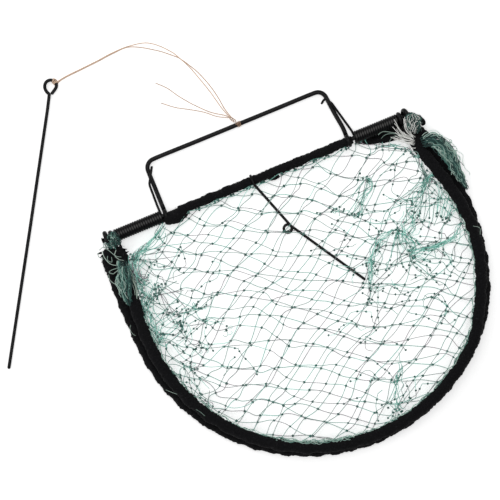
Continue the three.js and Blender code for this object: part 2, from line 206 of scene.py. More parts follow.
def curve(points, spacing):
    """An even path on a smooth curve through the points."""
    points = np.asarray(points, float)
    first = 2 * points[0] - points[1]
    last = 2 * points[-1] - points[-2]
    p = np.vstack([first, points, last])
    gaps = np.sqrt(np.linalg.norm(np.diff(p, axis=0), axis=1)) + 1e-9
    t = np.linspace(0, 1, 13)[:-1, None]
    pieces = []
    for i in range(len(points) - 1):
        p0, p1, p2, p3 = p[i : i + 4]
        g0, g1, g2 = gaps[i : i + 3]
        m1 = g1 * ((p1 - p0) / g0 - (p2 - p0) / (g0 + g1) + (p2 - p1) / g1)
        m2 = g1 * ((p2 - p1) / g1 - (p3 - p1) / (g1 + g2) + (p3 - p2) / g2)
        starts = (2 * t**3 - 3 * t**2 + 1) * p1 + (t**3 - 2 * t**2 + t) * m1
        pieces.append(starts + (3 * t**2 - 2 * t**3) * p2 + (t**3 - t**2) * m2)
    pieces.append(points[-1:])
    return resample(np.vstack(pieces), spacing)


def bent(stops, ease):
    """Straight runs between the stops, with each corner eased over a length."""
    spacing = 0.5
    line = resample(stops, spacing)
    reach = int(ease / spacing / 2)
    padded = np.vstack([[line[0]] * reach, line, [line[-1]] * reach])
    for k in range(reach):
        padded[reach - 1 - k] = 2 * line[0] - line[k + 1]
        padded[len(padded) - reach + k] = 2 * line[-1] - line[-2 - k]
    window = np.ones(2 * reach + 1) / (2 * reach + 1)
    return np.stack([np.convolve(padded[:, k], window, "valid") for k in range(3)], axis=1)


def bezier(p0, p1, p2, p3, steps):
    t = np.linspace(0, 1, steps + 1)[:, None]
    p0, p1, p2, p3 = (np.asarray(p, float) for p in (p0, p1, p2, p3))
    return (1 - t) ** 3 * p0 + 3 * (1 - t) ** 2 * t * p1 + 3 * (1 - t) * t**2 * p2 + t**3 * p3


def unit(vectors):
    return vectors / (np.linalg.norm(vectors, axis=-1, keepdims=True) + 1e-12)


def to_the_left(line):
    """Level directions square to a line, on its left."""
    return np.cross(UP, unit(np.gradient(line, axis=0) * [1, 1, 0]))


def inset(outline, distance):
    """Moves an outline to its left, which is inwards on a hoop."""
    return outline + np.reshape(distance, (-1, 1)) * to_the_left(outline)


def frames(path):
    """Directions along a path and two across it that never spin round it."""
    tangents = unit(np.gradient(path, axis=0))
    normal = UP if abs(tangents[0][2]) < 0.9 else np.array([1.0, 0.0, 0.0])
    normals = np.empty_like(path)
    for i, tangent in enumerate(tangents):
        normal = normal - tangent * (normal @ tangent)
        normal = normal / (np.linalg.norm(normal) + 1e-12)
        normals[i] = normal
    return tangents, normals, np.cross(tangents, normals)


def wander(count, spacing, wavelength, rng):
    """A smooth random line of about unit height."""
    t = np.arange(count) * spacing
    total = np.zeros(count)
    for octave in (1.0, 1.9, 3.3):
        phase = rng.uniform(0, TURN)
        total += np.sin(TURN * t * octave / wavelength + phase) / octave**0.7
    return total / 1.7


def surface_noise(along, around, scale, rng, waves, twist):
    """Smooth random relief on a tube, along its length and round it."""
    total = np.zeros((len(along), len(around)))
    for _ in range(waves):
        frequency = rng.uniform(0.3, 1.0) / scale * rng.choice([-1, 1])
        turns = rng.integers(-twist, twist + 1)
        phase = rng.uniform(0, TURN)
        total += np.cos(TURN * frequency * along[:, None] + turns * around[None, :] + phase)
    return total / math.sqrt(waves)


# ======== meshes


def tube(path, radius, sides):
    """A closed tube. The radius is one number, one for each point, or one for each vertex."""
    path = np.asarray(path, float)
    count = len(path)
    _, normals, binormals = frames(path)
    angles = np.arange(sides) * TURN / sides
    radius = np.asarray(radius, float)
    if radius.ndim == 1:
        radius = radius[:, None]
    radius = np.broadcast_to(radius, (count, sides))
    out = normals[:, None] * np.cos(angles)[:, None] + binormals[:, None] * np.sin(angles)[:, None]
    points = (path[:, None] + out * radius[..., None]).reshape(-1, 3)
    rows = np.arange(count - 1)[:, None] * sides
    here = np.arange(sides)[None]
    after = (here + 1) % sides
    quads = np.stack([rows + here, rows + after, rows + sides + after, rows + sides + here], axis=2)
    caps = np.stack([np.arange(sides)[::-1], (count - 1) * sides + np.arange(sides)])
    return points, [quads.reshape(-1, 4), caps]


def round_ended(path, radius, sides=12):
    """A tube with domed ends."""
    path = np.asarray(path, float)
    radius = np.broadcast_to(radius, len(path))
    steps = np.radians([80, 60, 35])
    before = path[0] + np.outer(np.sin(steps), unit(path[0] - path[1])) * radius[0]
    beyond = path[-1] + np.outer(np.sin(steps), unit(path[-1] - path[-2])) * radius[-1]
    radii = [radius[0] * np.cos(steps), radius, radius[-1] * np.cos(steps[::-1])]
    return tube(np.vstack([before, path, beyond[::-1]]), np.concatenate(radii), sides)


def add_object(name, data):
    made = bpy.data.objects.new(name, data)
    bpy.context.scene.collection.objects.link(made)
    return made


class Bunch:
    """Closed shapes gathered into one mesh, with tints that its material reads."""

    def __init__(self):
        self.points = []
        self.faces = []
        self.tints = []
        self.count = 0

    def add(self, shape, tint=0.5):
        points, faces = shape
        self.points.append(points)
        self.faces.extend(group + self.count for group in faces)
        self.tints.append(np.full(len(points), tint, np.float32))
        self.count += len(points)
        return self

    def line(self, path, radius, tint=0.5, sides=5):
        self.add(tube(path, radius, sides), tint)

    def build(self, name, look):
        points = np.vstack(self.points) * MM
        totals = np.concatenate([np.full(len(group), group.shape[1]) for group in self.faces])
        corners = np.concatenate([group.ravel() for group in self.faces])
        starts = np.concatenate([[0], np.cumsum(totals)[:-1]])
        mesh = bpy.data.meshes.new(name)
        mesh.vertices.add(len(points))
        mesh.vertices.foreach_set("co", points.astype(np.float32).ravel())
        mesh.loops.add(len(corners))
        mesh.loops.foreach_set("vertex_index", corners.astype(np.int32))
        mesh.polygons.add(len(totals))
        mesh.polygons.foreach_set("loop_start", starts.astype(np.int32))
        mesh.polygons.foreach_set("loop_total", totals.astype(np.int32))
        mesh.polygons.foreach_set("use_smooth", totals == 4)
        tint = mesh.attributes.new("tint", "FLOAT", "POINT")
        tint.data.foreach_set("value", np.concatenate(self.tints))
        mesh.update()
        mesh.validate()
        mesh.materials.append(look)
        return add_object(name, mesh)


def place(bunch, name, look, body=None, stands_for=None):
    """Makes a piece, which may ride on a body and stand for a CAD node."""
    piece = bunch.build(name, look)
    if body:
        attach(piece, body)
    if stands_for:
        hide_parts(stands_for)
    return piece


# ======== materials


class Look:
    """A node material with a few short-cuts."""

    def __init__(self, name):
        self.material = bpy.data.materials.new(name)
        self.material.use_nodes = True
        self.tree = self.material.node_tree
        self.shader = self.tree.nodes["Principled BSDF"]
        self.place = self.node("ShaderNodeTexCoord", "Object")

    def fill(self, node, values):
        """Sets or links a node's inputs, named with _ for a space, and sets its other properties."""
        for key, value in values.items():
            target = node.inputs.get(key.replace("_", " "))
            if target is None:
                setattr(node, key, value)
            elif isinstance(value, bpy.types.NodeSocket):
                self.tree.links.new(value, target)
            else:
                target.default_value = value

    def node(self, kind, output, **values):
        made = self.tree.nodes.new(kind)
        self.fill(made, values)
        return made.outputs[output]

    def noise(self, size, detail=4.0, roughness=0.6):
        """Noise whose features are about size millimetres across."""
        detailed = {"Detail": detail, "Roughness": roughness}
        return self.node("ShaderNodeTexNoise", "Fac", Vector=self.place, Scale=1 / (size * MM), **detailed)

    def tint(self):
        return self.node("ShaderNodeAttribute", "Fac", attribute_name="tint")

    def maths(self, operation, *values):
        made = self.tree.nodes.new("ShaderNodeMath")
        made.operation = operation
        for value, target in zip(values, made.inputs):
            if isinstance(value, float):
                target.default_value = value
            else:
                self.tree.links.new(value, target)
        return made.outputs[0]

    def colour(self, value, stops):
        """Gives the shader a colour that follows a value through the stops."""
        made = self.tree.nodes.new("ShaderNodeValToRGB")
        band = made.color_ramp
        while len(band.elements) < len(stops):
            band.elements.new(0.5)
        for element, (position, colour) in zip(band.elements, stops):
            element.position = position
            element.color = (*colour, 1.0)
        self.fill(made, {"Fac": value})
        self.fill(self.shader, {"Base_Color": made.outputs["Color"]})

    def finished(self, rough, relief, height, **values):
        """Sets the rest of the shader, with relief of about a height, and gives the material."""
        source, low, high = rough
        spread = self.node("ShaderNodeMapRange", 0, Value=source, To_Min=low, To_Max=high)
        bump = self.node("ShaderNodeBump", "Normal", Distance=height * MM, Strength=1.0, Height=relief)
        self.fill(self.shader, {"Roughness": spread, "Normal": bump, **values})
        return self.material


BLACK = (0.003, 0.003, 0.0035)


def painted_wire():
    """Black paint on steel: satin, slightly uneven, greyer where it has rubbed."""
    look = Look("painted_wire")
    look.colour(look.noise(9.0), [(0.45, BLACK), (0.85, (0.012, 0.012, 0.013))])
    return look.finished((look.noise(3.0), 0.22, 0.4), look.noise(0.8), 0.03, Specular_IOR_Level=0.14)


def spring_wire():
    """Blackened spring steel, with a painted grey highlight along the crest of each turn, where its tint
    is high.
    """
    look = Look("spring_wire")
    patchy = look.maths("MULTIPLY", look.tint(), look.maths("ADD", look.noise(4.0), 0.5))
    look.colour(patchy, [(0.1, BLACK), (0.9, (0.06, 0.059, 0.058))])
    return look.finished((look.noise(2.0), 0.3, 0.5), look.noise(0.5), 0.02, Specular_IOR_Level=0.14)


def black_cloth():
    """Black cotton tape: fine threads, lint and a soft sheen."""
    look = Look("black_cloth")
    lint = look.noise(1.6, detail=8.0, roughness=0.75)
    worn = [(0.38, (0.0035, 0.0035, 0.004)), (0.6, (0.008, 0.008, 0.009)), (0.74, (0.05, 0.05, 0.055))]
    look.colour(lint, worn)
    threads = look.node("ShaderNodeTexVoronoi", "Distance", Vector=look.place, Scale=1 / (0.55 * MM))
    relief = look.maths("ADD", look.maths("MULTIPLY", threads, 0.6), lint)
    sheen = {"Sheen_Weight": 0.02, "Sheen_Roughness": 0.5}
    return look.finished((lint, 0.8, 1.0), relief, 0.35, Specular_IOR_Level=0.08, **sheen)


def twine(name, stops):
    """Twisted fibre. Each strand's tint picks its colour from the stops."""
    look = Look(name)
    tint = look.tint()
    uneven = look.maths("SUBTRACT", look.noise(6.0), 0.5)
    look.colour(look.maths("ADD", tint, look.maths("MULTIPLY", uneven, 0.5)), stops)
    fibres = look.noise(0.35, detail=6.0)
    return look.finished((fibres, 0.45, 0.7), fibres, 0.06, Sheen_Weight=0.1, Specular_IOR_Level=0.35)


WIRE = painted_wire()
SPRING = spring_wire()
CLOTH = black_cloth()
NET_STOPS = [
    (0.0, (0.02, 0.12, 0.10)),
    (0.14, (0.33, 0.27, 0.31)),
    (0.4, (0.24, 0.36, 0.32)),
    (0.75, (0.12, 0.44, 0.36)),
    (1.0, (0.50, 0.90, 0.79)),
]
TASSEL_STOPS = [
    (0.05, (0.006, 0.026, 0.024)),
    (0.45, (0.03, 0.115, 0.10)),
    (0.75, (0.13, 0.30, 0.25)),
    (1.0, (0.50, 0.66, 0.58)),
]
NET_TWINE = twine("net_green", NET_STOPS)
KNOT_TWINE = twine("net_knots", [(0.1, (0.07, 0.16, 0.14)), (0.9, (0.015, 0.10, 0.08))])
TASSEL_TWINE = twine("twine_green", TASSEL_STOPS)
PALE_TWINE = twine("pale_twine", [(0.1, (0.16, 0.25, 0.21)), (0.9, (0.42, 0.52, 0.45))])
WHITE_THREAD = twine("white_thread", [(0.1, (0.62, 0.63, 0.60)), (0.9, (0.88, 0.88, 0.85))])
TAN_CORD = twine("tan_cord", [(0.1, (0.34, 0.20, 0.12)), (0.9, (0.66, 0.47, 0.34))])


# ======== frame and hoops


def wire(path, name, body, stands_for, thickness=FRAME_WIRE, sides=12):
    place(Bunch().add(round_ended(path, thickness / 2, sides)), name, WIRE, body, stands_for)


def eye(x, side, reach=EYE_RADIUS, lean=0.0):
    """A wire's end curled round the bar at x. Side is -1 for a wire from -Y.

    The curl stands out beyond the bar by the reach, and leans along the bar as it rises.
    """
    turn = np.radians(np.arange(-50, -321, -15))
    out = np.where(np.cos(turn) > 0, EYE_RADIUS, reach) * np.cos(turn)
    up = EYE_RADIUS * np.sin(turn)
    ring = np.column_stack([x + lean * up, side * out, BAR_HEIGHT + up])
    stops = ((LEAD_IN - 2, 0), (8.2, 0.2), (5.6, 1.6))
    lead = [(x, side * away, BAR_HEIGHT - drop) for away, drop in stops]
    return np.vstack([lead, ring])


def hoop_outline(hoop):
    """A hoop's centreline without its eyes, left to right."""
    angles = np.radians(np.linspace(-180, hoop["bow_end"], 90))
    bow = hoop["centre"] + hoop["radius"] * np.stack([np.cos(angles), np.sin(angles)], axis=1)
    left = bezier((-hoop["eye_x"], -LEAD_IN), *hoop["left"], bow[0], 30)
    right = bezier(bow[-1], *hoop["right"], (hoop["eye_x"], -LEAD_IN), 40)
    flat = np.vstack([left[:-1], bow, right[1:]])
    share = fade(-flat[:, 1], LEAD_IN, hoop["settled_at"])
    height = BAR_HEIGHT + (hoop["height"] - BAR_HEIGHT) * share
    return resample(np.column_stack([flat, height]), 2.0)


def hoop_path(hoop):
    left = eye(-hoop["eye_x"], -1, hoop["reach"][0])[::-1]
    right = eye(hoop["eye_x"] - hoop["inwards"], -1, hoop["reach"][1], hoop["lean"])
    return curve(np.vstack([left, hoop_outline(hoop)[::4], right]), 1.5)


def cross_bar():
    """The bar, with a head at each end that keeps the eyes on."""
    neck = BAR_END - BAR_HEAD
    head = [(BAR_END, 1.4), (BAR_END - 0.3, BAR_HEAD_RADIUS - 0.5), (neck + 0.7, BAR_HEAD_RADIUS)]
    head.append((neck, FRAME_WIRE / 2))
    shaft = [(x, FRAME_WIRE / 2) for x in np.linspace(-150, 150, 21)]
    along, radii = np.array([(-x, radius) for x, radius in head] + shaft + head[::-1]).T
    return Bunch().add(tube(np.outer(along, [1, 0, 0]) + [0, 0, BAR_HEIGHT], radii, 16))


def bail_path():
    turns_at = BAIL_REACH - BAIL_CORNER

    def corner(centre_x, start, end):
        turn = np.radians(np.linspace(start, end, 7))
        flat = np.column_stack([np.cos(turn), np.sin(turn)])
        return (centre_x, turns_at) + BAIL_CORNER * flat

    outline = [
        [(BAIL_LEFT, LEAD_IN + 2), (BAIL_LEFT, 28)],
        corner(BAIL_LEFT + BAIL_CORNER, 180, 90),
        [(-40, BAIL_REACH), (0, BAIL_REACH), (40, BAIL_REACH)],
        corner(BAIL_RIGHT_TOP - BAIL_CORNER, 90, 0),
        [(92.0, 28), (BAIL_RIGHT - 0.2, LEAD_IN + 2)],
    ]
    flat = np.vstack(outline)
    heights = BAR_HEIGHT + (BAIL_HEIGHT - BAR_HEIGHT) * clipped(flat[:, 1], LEAD_IN, turns_at)
    middle = np.column_stack([flat, heights])
    return curve(np.vstack([eye(BAIL_LEFT, 1)[::-1], middle, eye(BAIL_RIGHT, 1)]), 1.2)


place(cross_bar(), "bar", WIRE, "frame", "cross_bar")
wire(hoop_path(LOWER_HOOP), "lower_hoop_wire", "frame", "lower_hoop")
wire(hoop_path(UPPER_HOOP), "upper_hoop_wire", "hoop", "upper_hoop")
wire(bail_path(), "bail", "frame", "anchor_bail")


# ======== springs


def spring(side, hand, inner, turns, leg):
    """A torsion spring from its leg on the bail to its hook over the upper hoop."""
    steps = 14
    turn = math.pi + np.arange(turns * steps + 1) * TURN / steps
    along = side * np.linspace(inner, SPRING_OUTER, len(turn))
    heights = BAR_HEIGHT + SPRING_RADIUS * np.cos(turn)
    coil = np.column_stack([along, SPRING_RADIUS * np.sin(turn), heights])
    straight = bent([*leg, coil[0]], 4.0)[:-1:3]
    hook = [(side * x, y, z) for x, y, z in SPRING_HOOK]
    path = curve(np.vstack([straight, coil, hook]), 1.1)
    from_axis = np.hypot(path[:, 1], path[:, 2] - BAR_HEIGHT)
    stages = [SPRING_RADIUS + 0.4, SPRING_RADIUS + 2.5]
    shape = round_ended(path, np.interp(from_axis, stages, [COIL_WIRE / 2, SPRING_WIRE / 2]))
    # Painted highlight: the tint is high along a line near the top of each turn, and the material paints
    # it grey as a glint.
    crest = (shape[0] - [0, CREST_SHIFT, BAR_HEIGHT]) / (SPRING_RADIUS + COIL_WIRE / 2)
    outwards = np.hypot(crest[:, 1], crest[:, 2])
    painted_glint = clipped(crest[:, 2], 0.88, 0.96) * clipped(outwards, 0.96, 0.995)
    piece = place(Bunch().add(shape, painted_glint), f"spring_{hand}", SPRING)
    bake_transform(piece)
    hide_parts(f"{hand}_spring")


spring(-1, "left", **LEFT_SPRING)
spring(1, "right", **RIGHT_SPRING)


# ======== cloth


def wound_cloth(path, half, pitch, rng, lumps, ends, flat=1.0):
    """A strip of cloth wound round a path, with overlapping turns, creases and lumps."""
    spacing = 0.8
    sides = 30
    path = resample(path, spacing)
    along = lengths_along(path)
    around = np.arange(sides) * TURN / sides
    drift = wander(len(path), spacing, 60.0, rng) * 0.35
    step = ((along / pitch + drift)[:, None] + around[None] / TURN) % 1.0
    overlap = step**0.7 * (1 - clipped(step, 0.86, 1.0) ** 1.5)
    creases = surface_noise(along, around, 3.2, rng, 16, 5)
    swell = surface_noise(along, around, 13.0, rng, 8, 2)
    radius = half * 0.9 + 0.38 * overlap + 0.24 * creases + lumps * swell
    from_end = np.minimum(along, along[-1] - along)
    taper = ends + (1 - ends) * clipped(from_end, 0, 3.0) ** 0.5
    points, faces = tube(path, radius * taper[:, None], sides)
    middle = np.repeat(path[:, 2], sides)
    points[:, 2] = middle + (points[:, 2] - middle) * flat
    return points, faces


def roll(bunch, stops, half, pitch, rng, lumps, ends, flat=1.0, spacing=0.8):
    """Adds wound cloth along a smooth curve, and gives the curve."""
    path = curve(stops, spacing)
    bunch.add(wound_cloth(path, half, pitch, rng, lumps, ends, flat))
    return path


def lint(bunch, path, half, count, rng, longest=2.6):
    """Loose fibres standing out of the cloth."""
    path = resample(path, 1.0)
    _, normals, binormals = frames(path)
    for _ in range(count):
        i = rng.integers(1, len(path) - 1)
        angle = rng.uniform(0, TURN)
        out = normals[i] * math.cos(angle) + binormals[i] * math.sin(angle)
        side = unit(rng.normal(size=3))
        start = path[i] + out * (half - 0.4)
        length = rng.uniform(0.8, longest)
        tip = start + unit(out + 0.7 * side) * length
        middle = (start + tip) / 2 + 0.25 * length * unit(rng.normal(size=3))
        tip[2] = max(tip[2], 0.15)
        middle[2] = max(middle[2], 0.15)
        bunch.line(curve([start, middle, tip], length / 4), LINT, sides=3)


def hoop_half(hoop, side):
    """One side of a hoop's centreline, from near the bar to the middle of the bow."""
    outline = hoop_outline(hoop)
    middle = hoop["centre"][0]
    own = outline[(side * (outline[:, 0] - middle) > -3.0) & (-outline[:, 1] > WRAP_START)]
    own = inset(own, WRAP_INSET)
    return own if side > 0 else own[::-1]


def wraps():
    for hoop, word, body, seed in ((LOWER_HOOP, "lower", "frame", 11), (UPPER_HOOP, "upper", "hoop", 21)):
        for side, hand in ((-1, "left"), (1, "right")):
            rng = rng_for(seed + side)
            path = hoop_half(hoop, side)
            bunch = Bunch().add(wound_cloth(path, WRAP_HALF, 9.0, rng, 0.5, 0.92, 0.84))
            lint(bunch, path, CLOTH_HALF, 260, rng)
            node = f"{word}_wrap_{hand}"
            place(bunch, f"{node}_cloth", CLOTH, body, node)


def bar_cloths():
    rng = rng_for(31)
    for hand, start, end in (("left", -77.0, NEEDLE_X - 1.2), ("right", NEEDLE_X + 1.2, 98.0)):
        path = np.linspace((start, -0.85, BAR_HEIGHT - 0.3), (end, -0.85, BAR_HEIGHT - 0.3), 12)
        bunch = Bunch().add(wound_cloth(path, 4.55, 11.0, rng, 0.42, 0.85))
        lint(bunch, path, 4.3, 110, rng, 2.0)
        place(bunch, f"bar_wrap_{hand}_cloth", CLOTH, "frame", f"bar_wrap_{hand}")
    # the lump at the bail's left leg, a corner of cloth beside it, and a tab further along the bar
    bunch = Bunch()
    lump = [(-96, -2.5, 7.0), (-91, -4.0, 7.2), (-85, -4.6, 7.2), (-79, -3.6, 7.0), (-73, -1.6, 6.8)]
    path = roll(bunch, lump, 6.7, 6.0, rng, 0.7, 0.5, 0.92)
    corner = [(-90, -5.5, 5.6), (-86, -8.0, 5.2), (-81.5, -8.6, 5.0), (-79.5, -10.6, 4.6)]
    roll(bunch, corner, 3.6, 5.0, rng, 0.4, 0.35, 0.9)
    lint(bunch, path, 6.4, 60, rng, 2.2)
    tab = [(10.5, -4.9, 4.6), (15, -6.6, 4.3), (21, -6.2, 4.5)]
    roll(bunch, tab, 1.9, 5.0, rng, 0.25, 0.4, spacing=0.6)
    place(bunch, "bail_binding_cloth", CLOTH, "frame", "bail_binding_left")


def cloth_sheet(top, bottom, rows, thickness, ripple, rng):
    """A loose piece of cloth between two edges, as a closed sheet with soft ripples."""
    top = curve(top, 1.0)
    bottom = resample(curve(bottom, 1.0), 1.0)
    count = min(len(top), len(bottom))
    top, bottom = resample_to(top, count), resample_to(bottom, count)
    share = np.linspace(0, 1, rows)[:, None, None]
    grid = top[None, :count] * (1 - share) + bottom[None, :count] * share
    height = np.zeros((rows, count))
    for _ in range(9):
        a, b, phase = rng.uniform(-0.5, 0.5), rng.uniform(0.2, 0.9), rng.uniform(0, 6.3)
        height += np.sin(a * np.arange(count) + b * np.arange(rows)[:, None] + phase)
    grid[..., 2] = np.maximum(grid[..., 2] + ripple * height / 3, thickness + 0.1)
    points = grid.reshape(-1, 3)
    index = np.arange(rows * count).reshape(rows, count)
    a, b = index[:-1, :-1].ravel(), index[:-1, 1:].ravel()
    c, d = index[1:, 1:].ravel(), index[1:, :-1].ravel()
    total = rows * count
    upper = np.stack([a, d, c, b], axis=1)
    lower = np.stack([a, b, c, d], axis=1) + total
    rim = np.concatenate([index[0, :-1], index[:-1, -1], index[-1, :0:-1], index[:0:-1, 0]])
    after = np.roll(rim, -1)
    side = np.stack([rim, after, after + total, rim + total], axis=1)
    return np.vstack([points, points - [0, 0, thickness]]), [upper, lower, side]


def flap():
    rng = rng_for(41)
    top = [(99, 2, 2.2), (115, 1, 2.0), (130, 0, 2.2), (146, -2, 3.0)]
    bottom = [(101, -4.0, 1.6), (109, -8, 1.4), (118, -12.5, 1.5), (127, -15.6, 1.6), (137, -17.0, 2.0)]
    bottom.append((146, -18.5, 3.0))
    bunch = Bunch().add(cloth_sheet(top, bottom, 18, 0.9, 0.7, rng))
    hem = [(100, -2.5, 3.6), (112, -8.2, 3.0), (124, -12.0, 3.2), (135, -13.5, 3.6), (146, -16.0, 4.2)]
    path = roll(bunch, hem, 3.0, 8.0, rng, 0.35, 0.4, 0.85)
    lint(bunch, path, 2.8, 60, rng, 2.5)
    place(bunch, "flap_right_cloth", CLOTH, "frame", "cloth_flap_right")


wraps()
bar_cloths()
flap()


# ======== netting

# Parts of both sheets' outline; the rest of it follows the hoop.
LEFT_ROPE = [
    (-98, -6.5), (-114, -15.5), (-125, -19.5), (-134, -23),
    (-140.5, -30), (-143.5, -42), (-146, -56),
]
RIGHT_EDGE = [(152, -55), (150, -41), (146, -30), (136, -22), (127, -17), (104, -7.5)]
TOP_EDGE = [(90, -5.4), (60, -5.0), (20, -5.2), (-20, -5.2), (-60, -5.4), (-80, -9.0)]

# Where the net is bunched together: x, y, how far the bunching reaches, how strongly it pulls.
LEFT_BUNCHES = [
    (-137, -27, 24, 0.85),
    (-125, -60, 22, 0.75),
    (-138, -70, 22, 0.8),
    (-121, -99, 20, 0.7),
    (-142, -107, 20, 0.8),
    (-98, -92, 20, 0.6),
    (-108, -131, 20, 0.65),
    (-126, -142, 20, 0.7),
    (-80, -125, 18, 0.5),
]
RIGHT_BUNCHES = [
    (96, -40, 22, 0.8),
    (60, -57, 18, 0.65),
    (75, -70, 18, 0.55),
    (103, -100, 26, 0.85),
    (109, -120, 24, 0.8),
    (135, -125, 22, 0.7),
    (83, -102, 18, 0.6),
    (68, -116, 20, 0.7),
    (63, -137, 24, 0.75),
    (124, -87, 18, 0.6),
    (147, -65, 24, 0.8),
    (50, -228, 22, 0.6),
    (40, -252, 24, 0.75),
]


def crossings(border, y):
    """Which edges of a closed outline span each y, and the x where they cross it."""
    ax, ay = border[:, 0], border[:, 1]
    bx, by = np.roll(ax, -1), np.roll(ay, -1)
    spans = (ay > y) != (by > y)
    with np.errstate(divide="ignore", invalid="ignore"):
        return spans, ax + (y - ay) * (bx - ax) / (by - ay)


def inside(points, border):
    """Which points lie inside a closed outline, as seen from above."""
    spans, crossed_at = crossings(border, points[:, 1:2])
    return (spans & (points[:, :1] < crossed_at)).sum(axis=1) % 2 == 1


def row_limits(border, y):
    """The lowest and highest x of a closed outline at a given y."""
    spans, crossed_at = crossings(border, y)
    return (crossed_at[spans].min(), crossed_at[spans].max()) if spans.any() else None


def net_border(hoop):
    """The closed outline that a sheet of net fills."""
    rim = inset(hoop_outline(hoop), CLOTH_HALF - 0.3)[:, :2]
    left = rim[(rim[:, 0] < 0) & (rim[:, 1] < -62)]
    right = rim[(rim[:, 0] >= 0) & (rim[:, 1] < -72)]
    return np.vstack([LEFT_ROPE, left, right, RIGHT_EDGE, TOP_EDGE])


def soft_limit(value, limit, side):
    """Squeezes values beyond a limit into a soft band just inside it."""
    softness = 7.0
    depth = side * (value - limit)
    return limit + side * softness * math.log1p(math.exp(min(depth / softness, 40)))


def bunched(x, y, bunches):
    for centre_x, centre_y, reach, pull in bunches:
        dx, dy = x - centre_x, y - centre_y
        distance = math.hypot(dx, dy)
        if distance < reach:
            keep = 1 - pull * (1 - distance / reach)
            x, y = centre_x + dx * keep, centre_y + dy * keep
    return x, y


def random_warp(rng, wavelength, height):
    """A smooth random shift over the plane, as a function of a place."""
    waves = []
    for _ in range(10):
        direction = rng.normal(size=2) * TURN / wavelength * 0.6
        phases = rng.uniform(0, TURN, 2)
        waves.append((direction, phases, rng.normal(size=2) * height / math.sqrt(5)))

    def shift(x, y):
        total = np.zeros(2)
        for direction, phases, size in waves:
            total += size * np.sin(direction[0] * x + direction[1] * y + phases)
        return total

    return shift


def strand_path(start, end, leaves, arrives, rng, looseness):
    """A slack strand between two knots, leaving and arriving in given directions."""
    chord = np.linalg.norm(end - start)
    slack = max(MESH_BAR - chord, 0.0)
    handle = chord / 3 + looseness * min(slack, 12.0)
    lift = np.array([0, 0, 0.4 * rng.normal()])
    return bezier(start, start + leaves * handle + lift, end - arrives * handle + lift, end, 9)


def knot(bunch, place_at, across, rng, size, tint):
    """A small knot: two crossing turns of twine."""
    base = math.atan2(across[1], across[0]) + rng.normal() * 0.4
    for turn in range(2):
        angles = np.linspace(0, TURN * 1.02, 11) + rng.uniform(0, 6.3)
        lean = base + turn * 1.4
        cos, sin = math.cos(lean), math.sin(lean)
        flat = [0.95 * np.cos(angles), 0.5 * np.sin(angles), 0.45 * np.sin(angles + 0.8 + turn)]
        turned = np.column_stack(flat) @ np.array([[cos, sin, 0], [-sin, cos, 0], [0, 0, 1]])
        bunch.line(place_at + size * turned, KNOT * size, tint)


def needle_height(x, y):
    """Distance from the trigger needle, seen from above, and its height there."""
    best = (1e9, 0.0)
    line = [(NEEDLE_X, -5.5, 10.5), (COIL_CENTRE[0] + 3.0, COIL_CENTRE[1], 6.9), NEEDLE_TIP]
    for (ax, ay, az), (bx, by, bz) in zip(line[:-1], line[1:]):
        dx, dy = bx - ax, by - ay
        share = min(max(((x - ax) * dx + (y - ay) * dy) / (dx * dx + dy * dy), 0), 1)
        distance = math.hypot(x - ax - share * dx, y - ay - share * dy)
        best = min(best, (distance, az + share * (bz - az)))
    return best


def unruly(x, y):
    """The net hangs evenly in the middle and loosely towards its left and right sides."""
    sides = max(fade(-x, 40, 110), fade(x, 55, 120) * fade(y, -190, -120))
    return 0.8 + 1.4 * max(sides, 0.6 * fade(y, -75, -20))


def lower_height(x, y):
    """The lower sheet rests on the ground and rises to the hoop's cloth at its edge."""
    edge = math.hypot(x - LOWER_HOOP["centre"][0], y - LOWER_HOOP["centre"][1])
    to_rim = fade(edge, 140, 166) if y < -60 else 0
    return 1.2 + 2.6 * to_rim + 3.4 * (1 - fade(-y, 6, 22))


def upper_height(x, y):
    """The upper sheet sags between the bar and the upper hoop."""
    edge = math.hypot(x - UPPER_HOOP["centre"][0], y - UPPER_HOOP["centre"][1])
    to_rim = fade(edge, 120, 166) if y < -60 else fade(abs(x), 105, 145)
    return 7.8 + 5.6 * to_rim + 1.6 * (1 - fade(-y, 6, 30))


def clear_height(point, height_at):
    """The point's height, lifted over the needle where the sheet lies on it."""
    if height_at is not upper_height:
        return max(point[2], GROUND)
    distance, needle = needle_height(point[0], point[1])
    clearance = needle + 1.6 if point[1] < -25 else -1e9
    lift = fade(-distance, -9.0, -2.0)
    return max(point[2], point[2] * (1 - lift) + clearance * lift)


def cut_at_border(path, border, starts_inside):
    """The part of a strand inside the border, carried a little way into the cloth."""
    line = resample(path, 1.0)
    if not starts_inside:
        line = line[::-1]
    outside = np.flatnonzero(~inside(line, border))
    return line[: outside[0] + 2] if len(outside) else line


def mesh_knots(border, bunches, height_at, phase, spill, rng):
    """The places of the knots by row and column. Spill is how far they may start beyond each side."""
    warp = random_warp(rng, 110.0, 4.5)
    nodes = {}
    for row in range(int(NET_DEPTH / MESH_HALF_HEIGHT)):
        from_bar = -FIRST_ROW - row * MESH_HALF_HEIGHT
        limits = row_limits(border, min(from_bar, -9.2))
        if limits is None:
            break
        beyond = (spill[0] * fade(from_bar, -215, -120), spill[1] * fade(from_bar, -190, -100))
        edges = list(zip(limits, (1, -1), beyond))
        for column in range(-16, 17):
            if (row + column) % 2:
                continue
            x, y = phase + column * MESH_HALF_WIDTH, from_bar
            if row:
                stray = 0.8 * unruly(x, y)
                x, y = (x, y) + warp(x, y) + rng.normal(size=2) * stray
            if any(side * (x - limit) < -out - 20 for limit, side, out in edges):
                continue
            for limit, side, out in edges:
                if out > 8 and side * (x - limit) < 30:
                    x = soft_limit(x, limit, side) + rng.normal() * 1.5
            if row:
                x, y = bunched(x, y, bunches)
            nodes[row, column] = np.array([x, y, 0.0])
    for node in nodes.values():
        node[2] = height_at(node[0], node[1]) + rng.normal() * 0.25
    return nodes


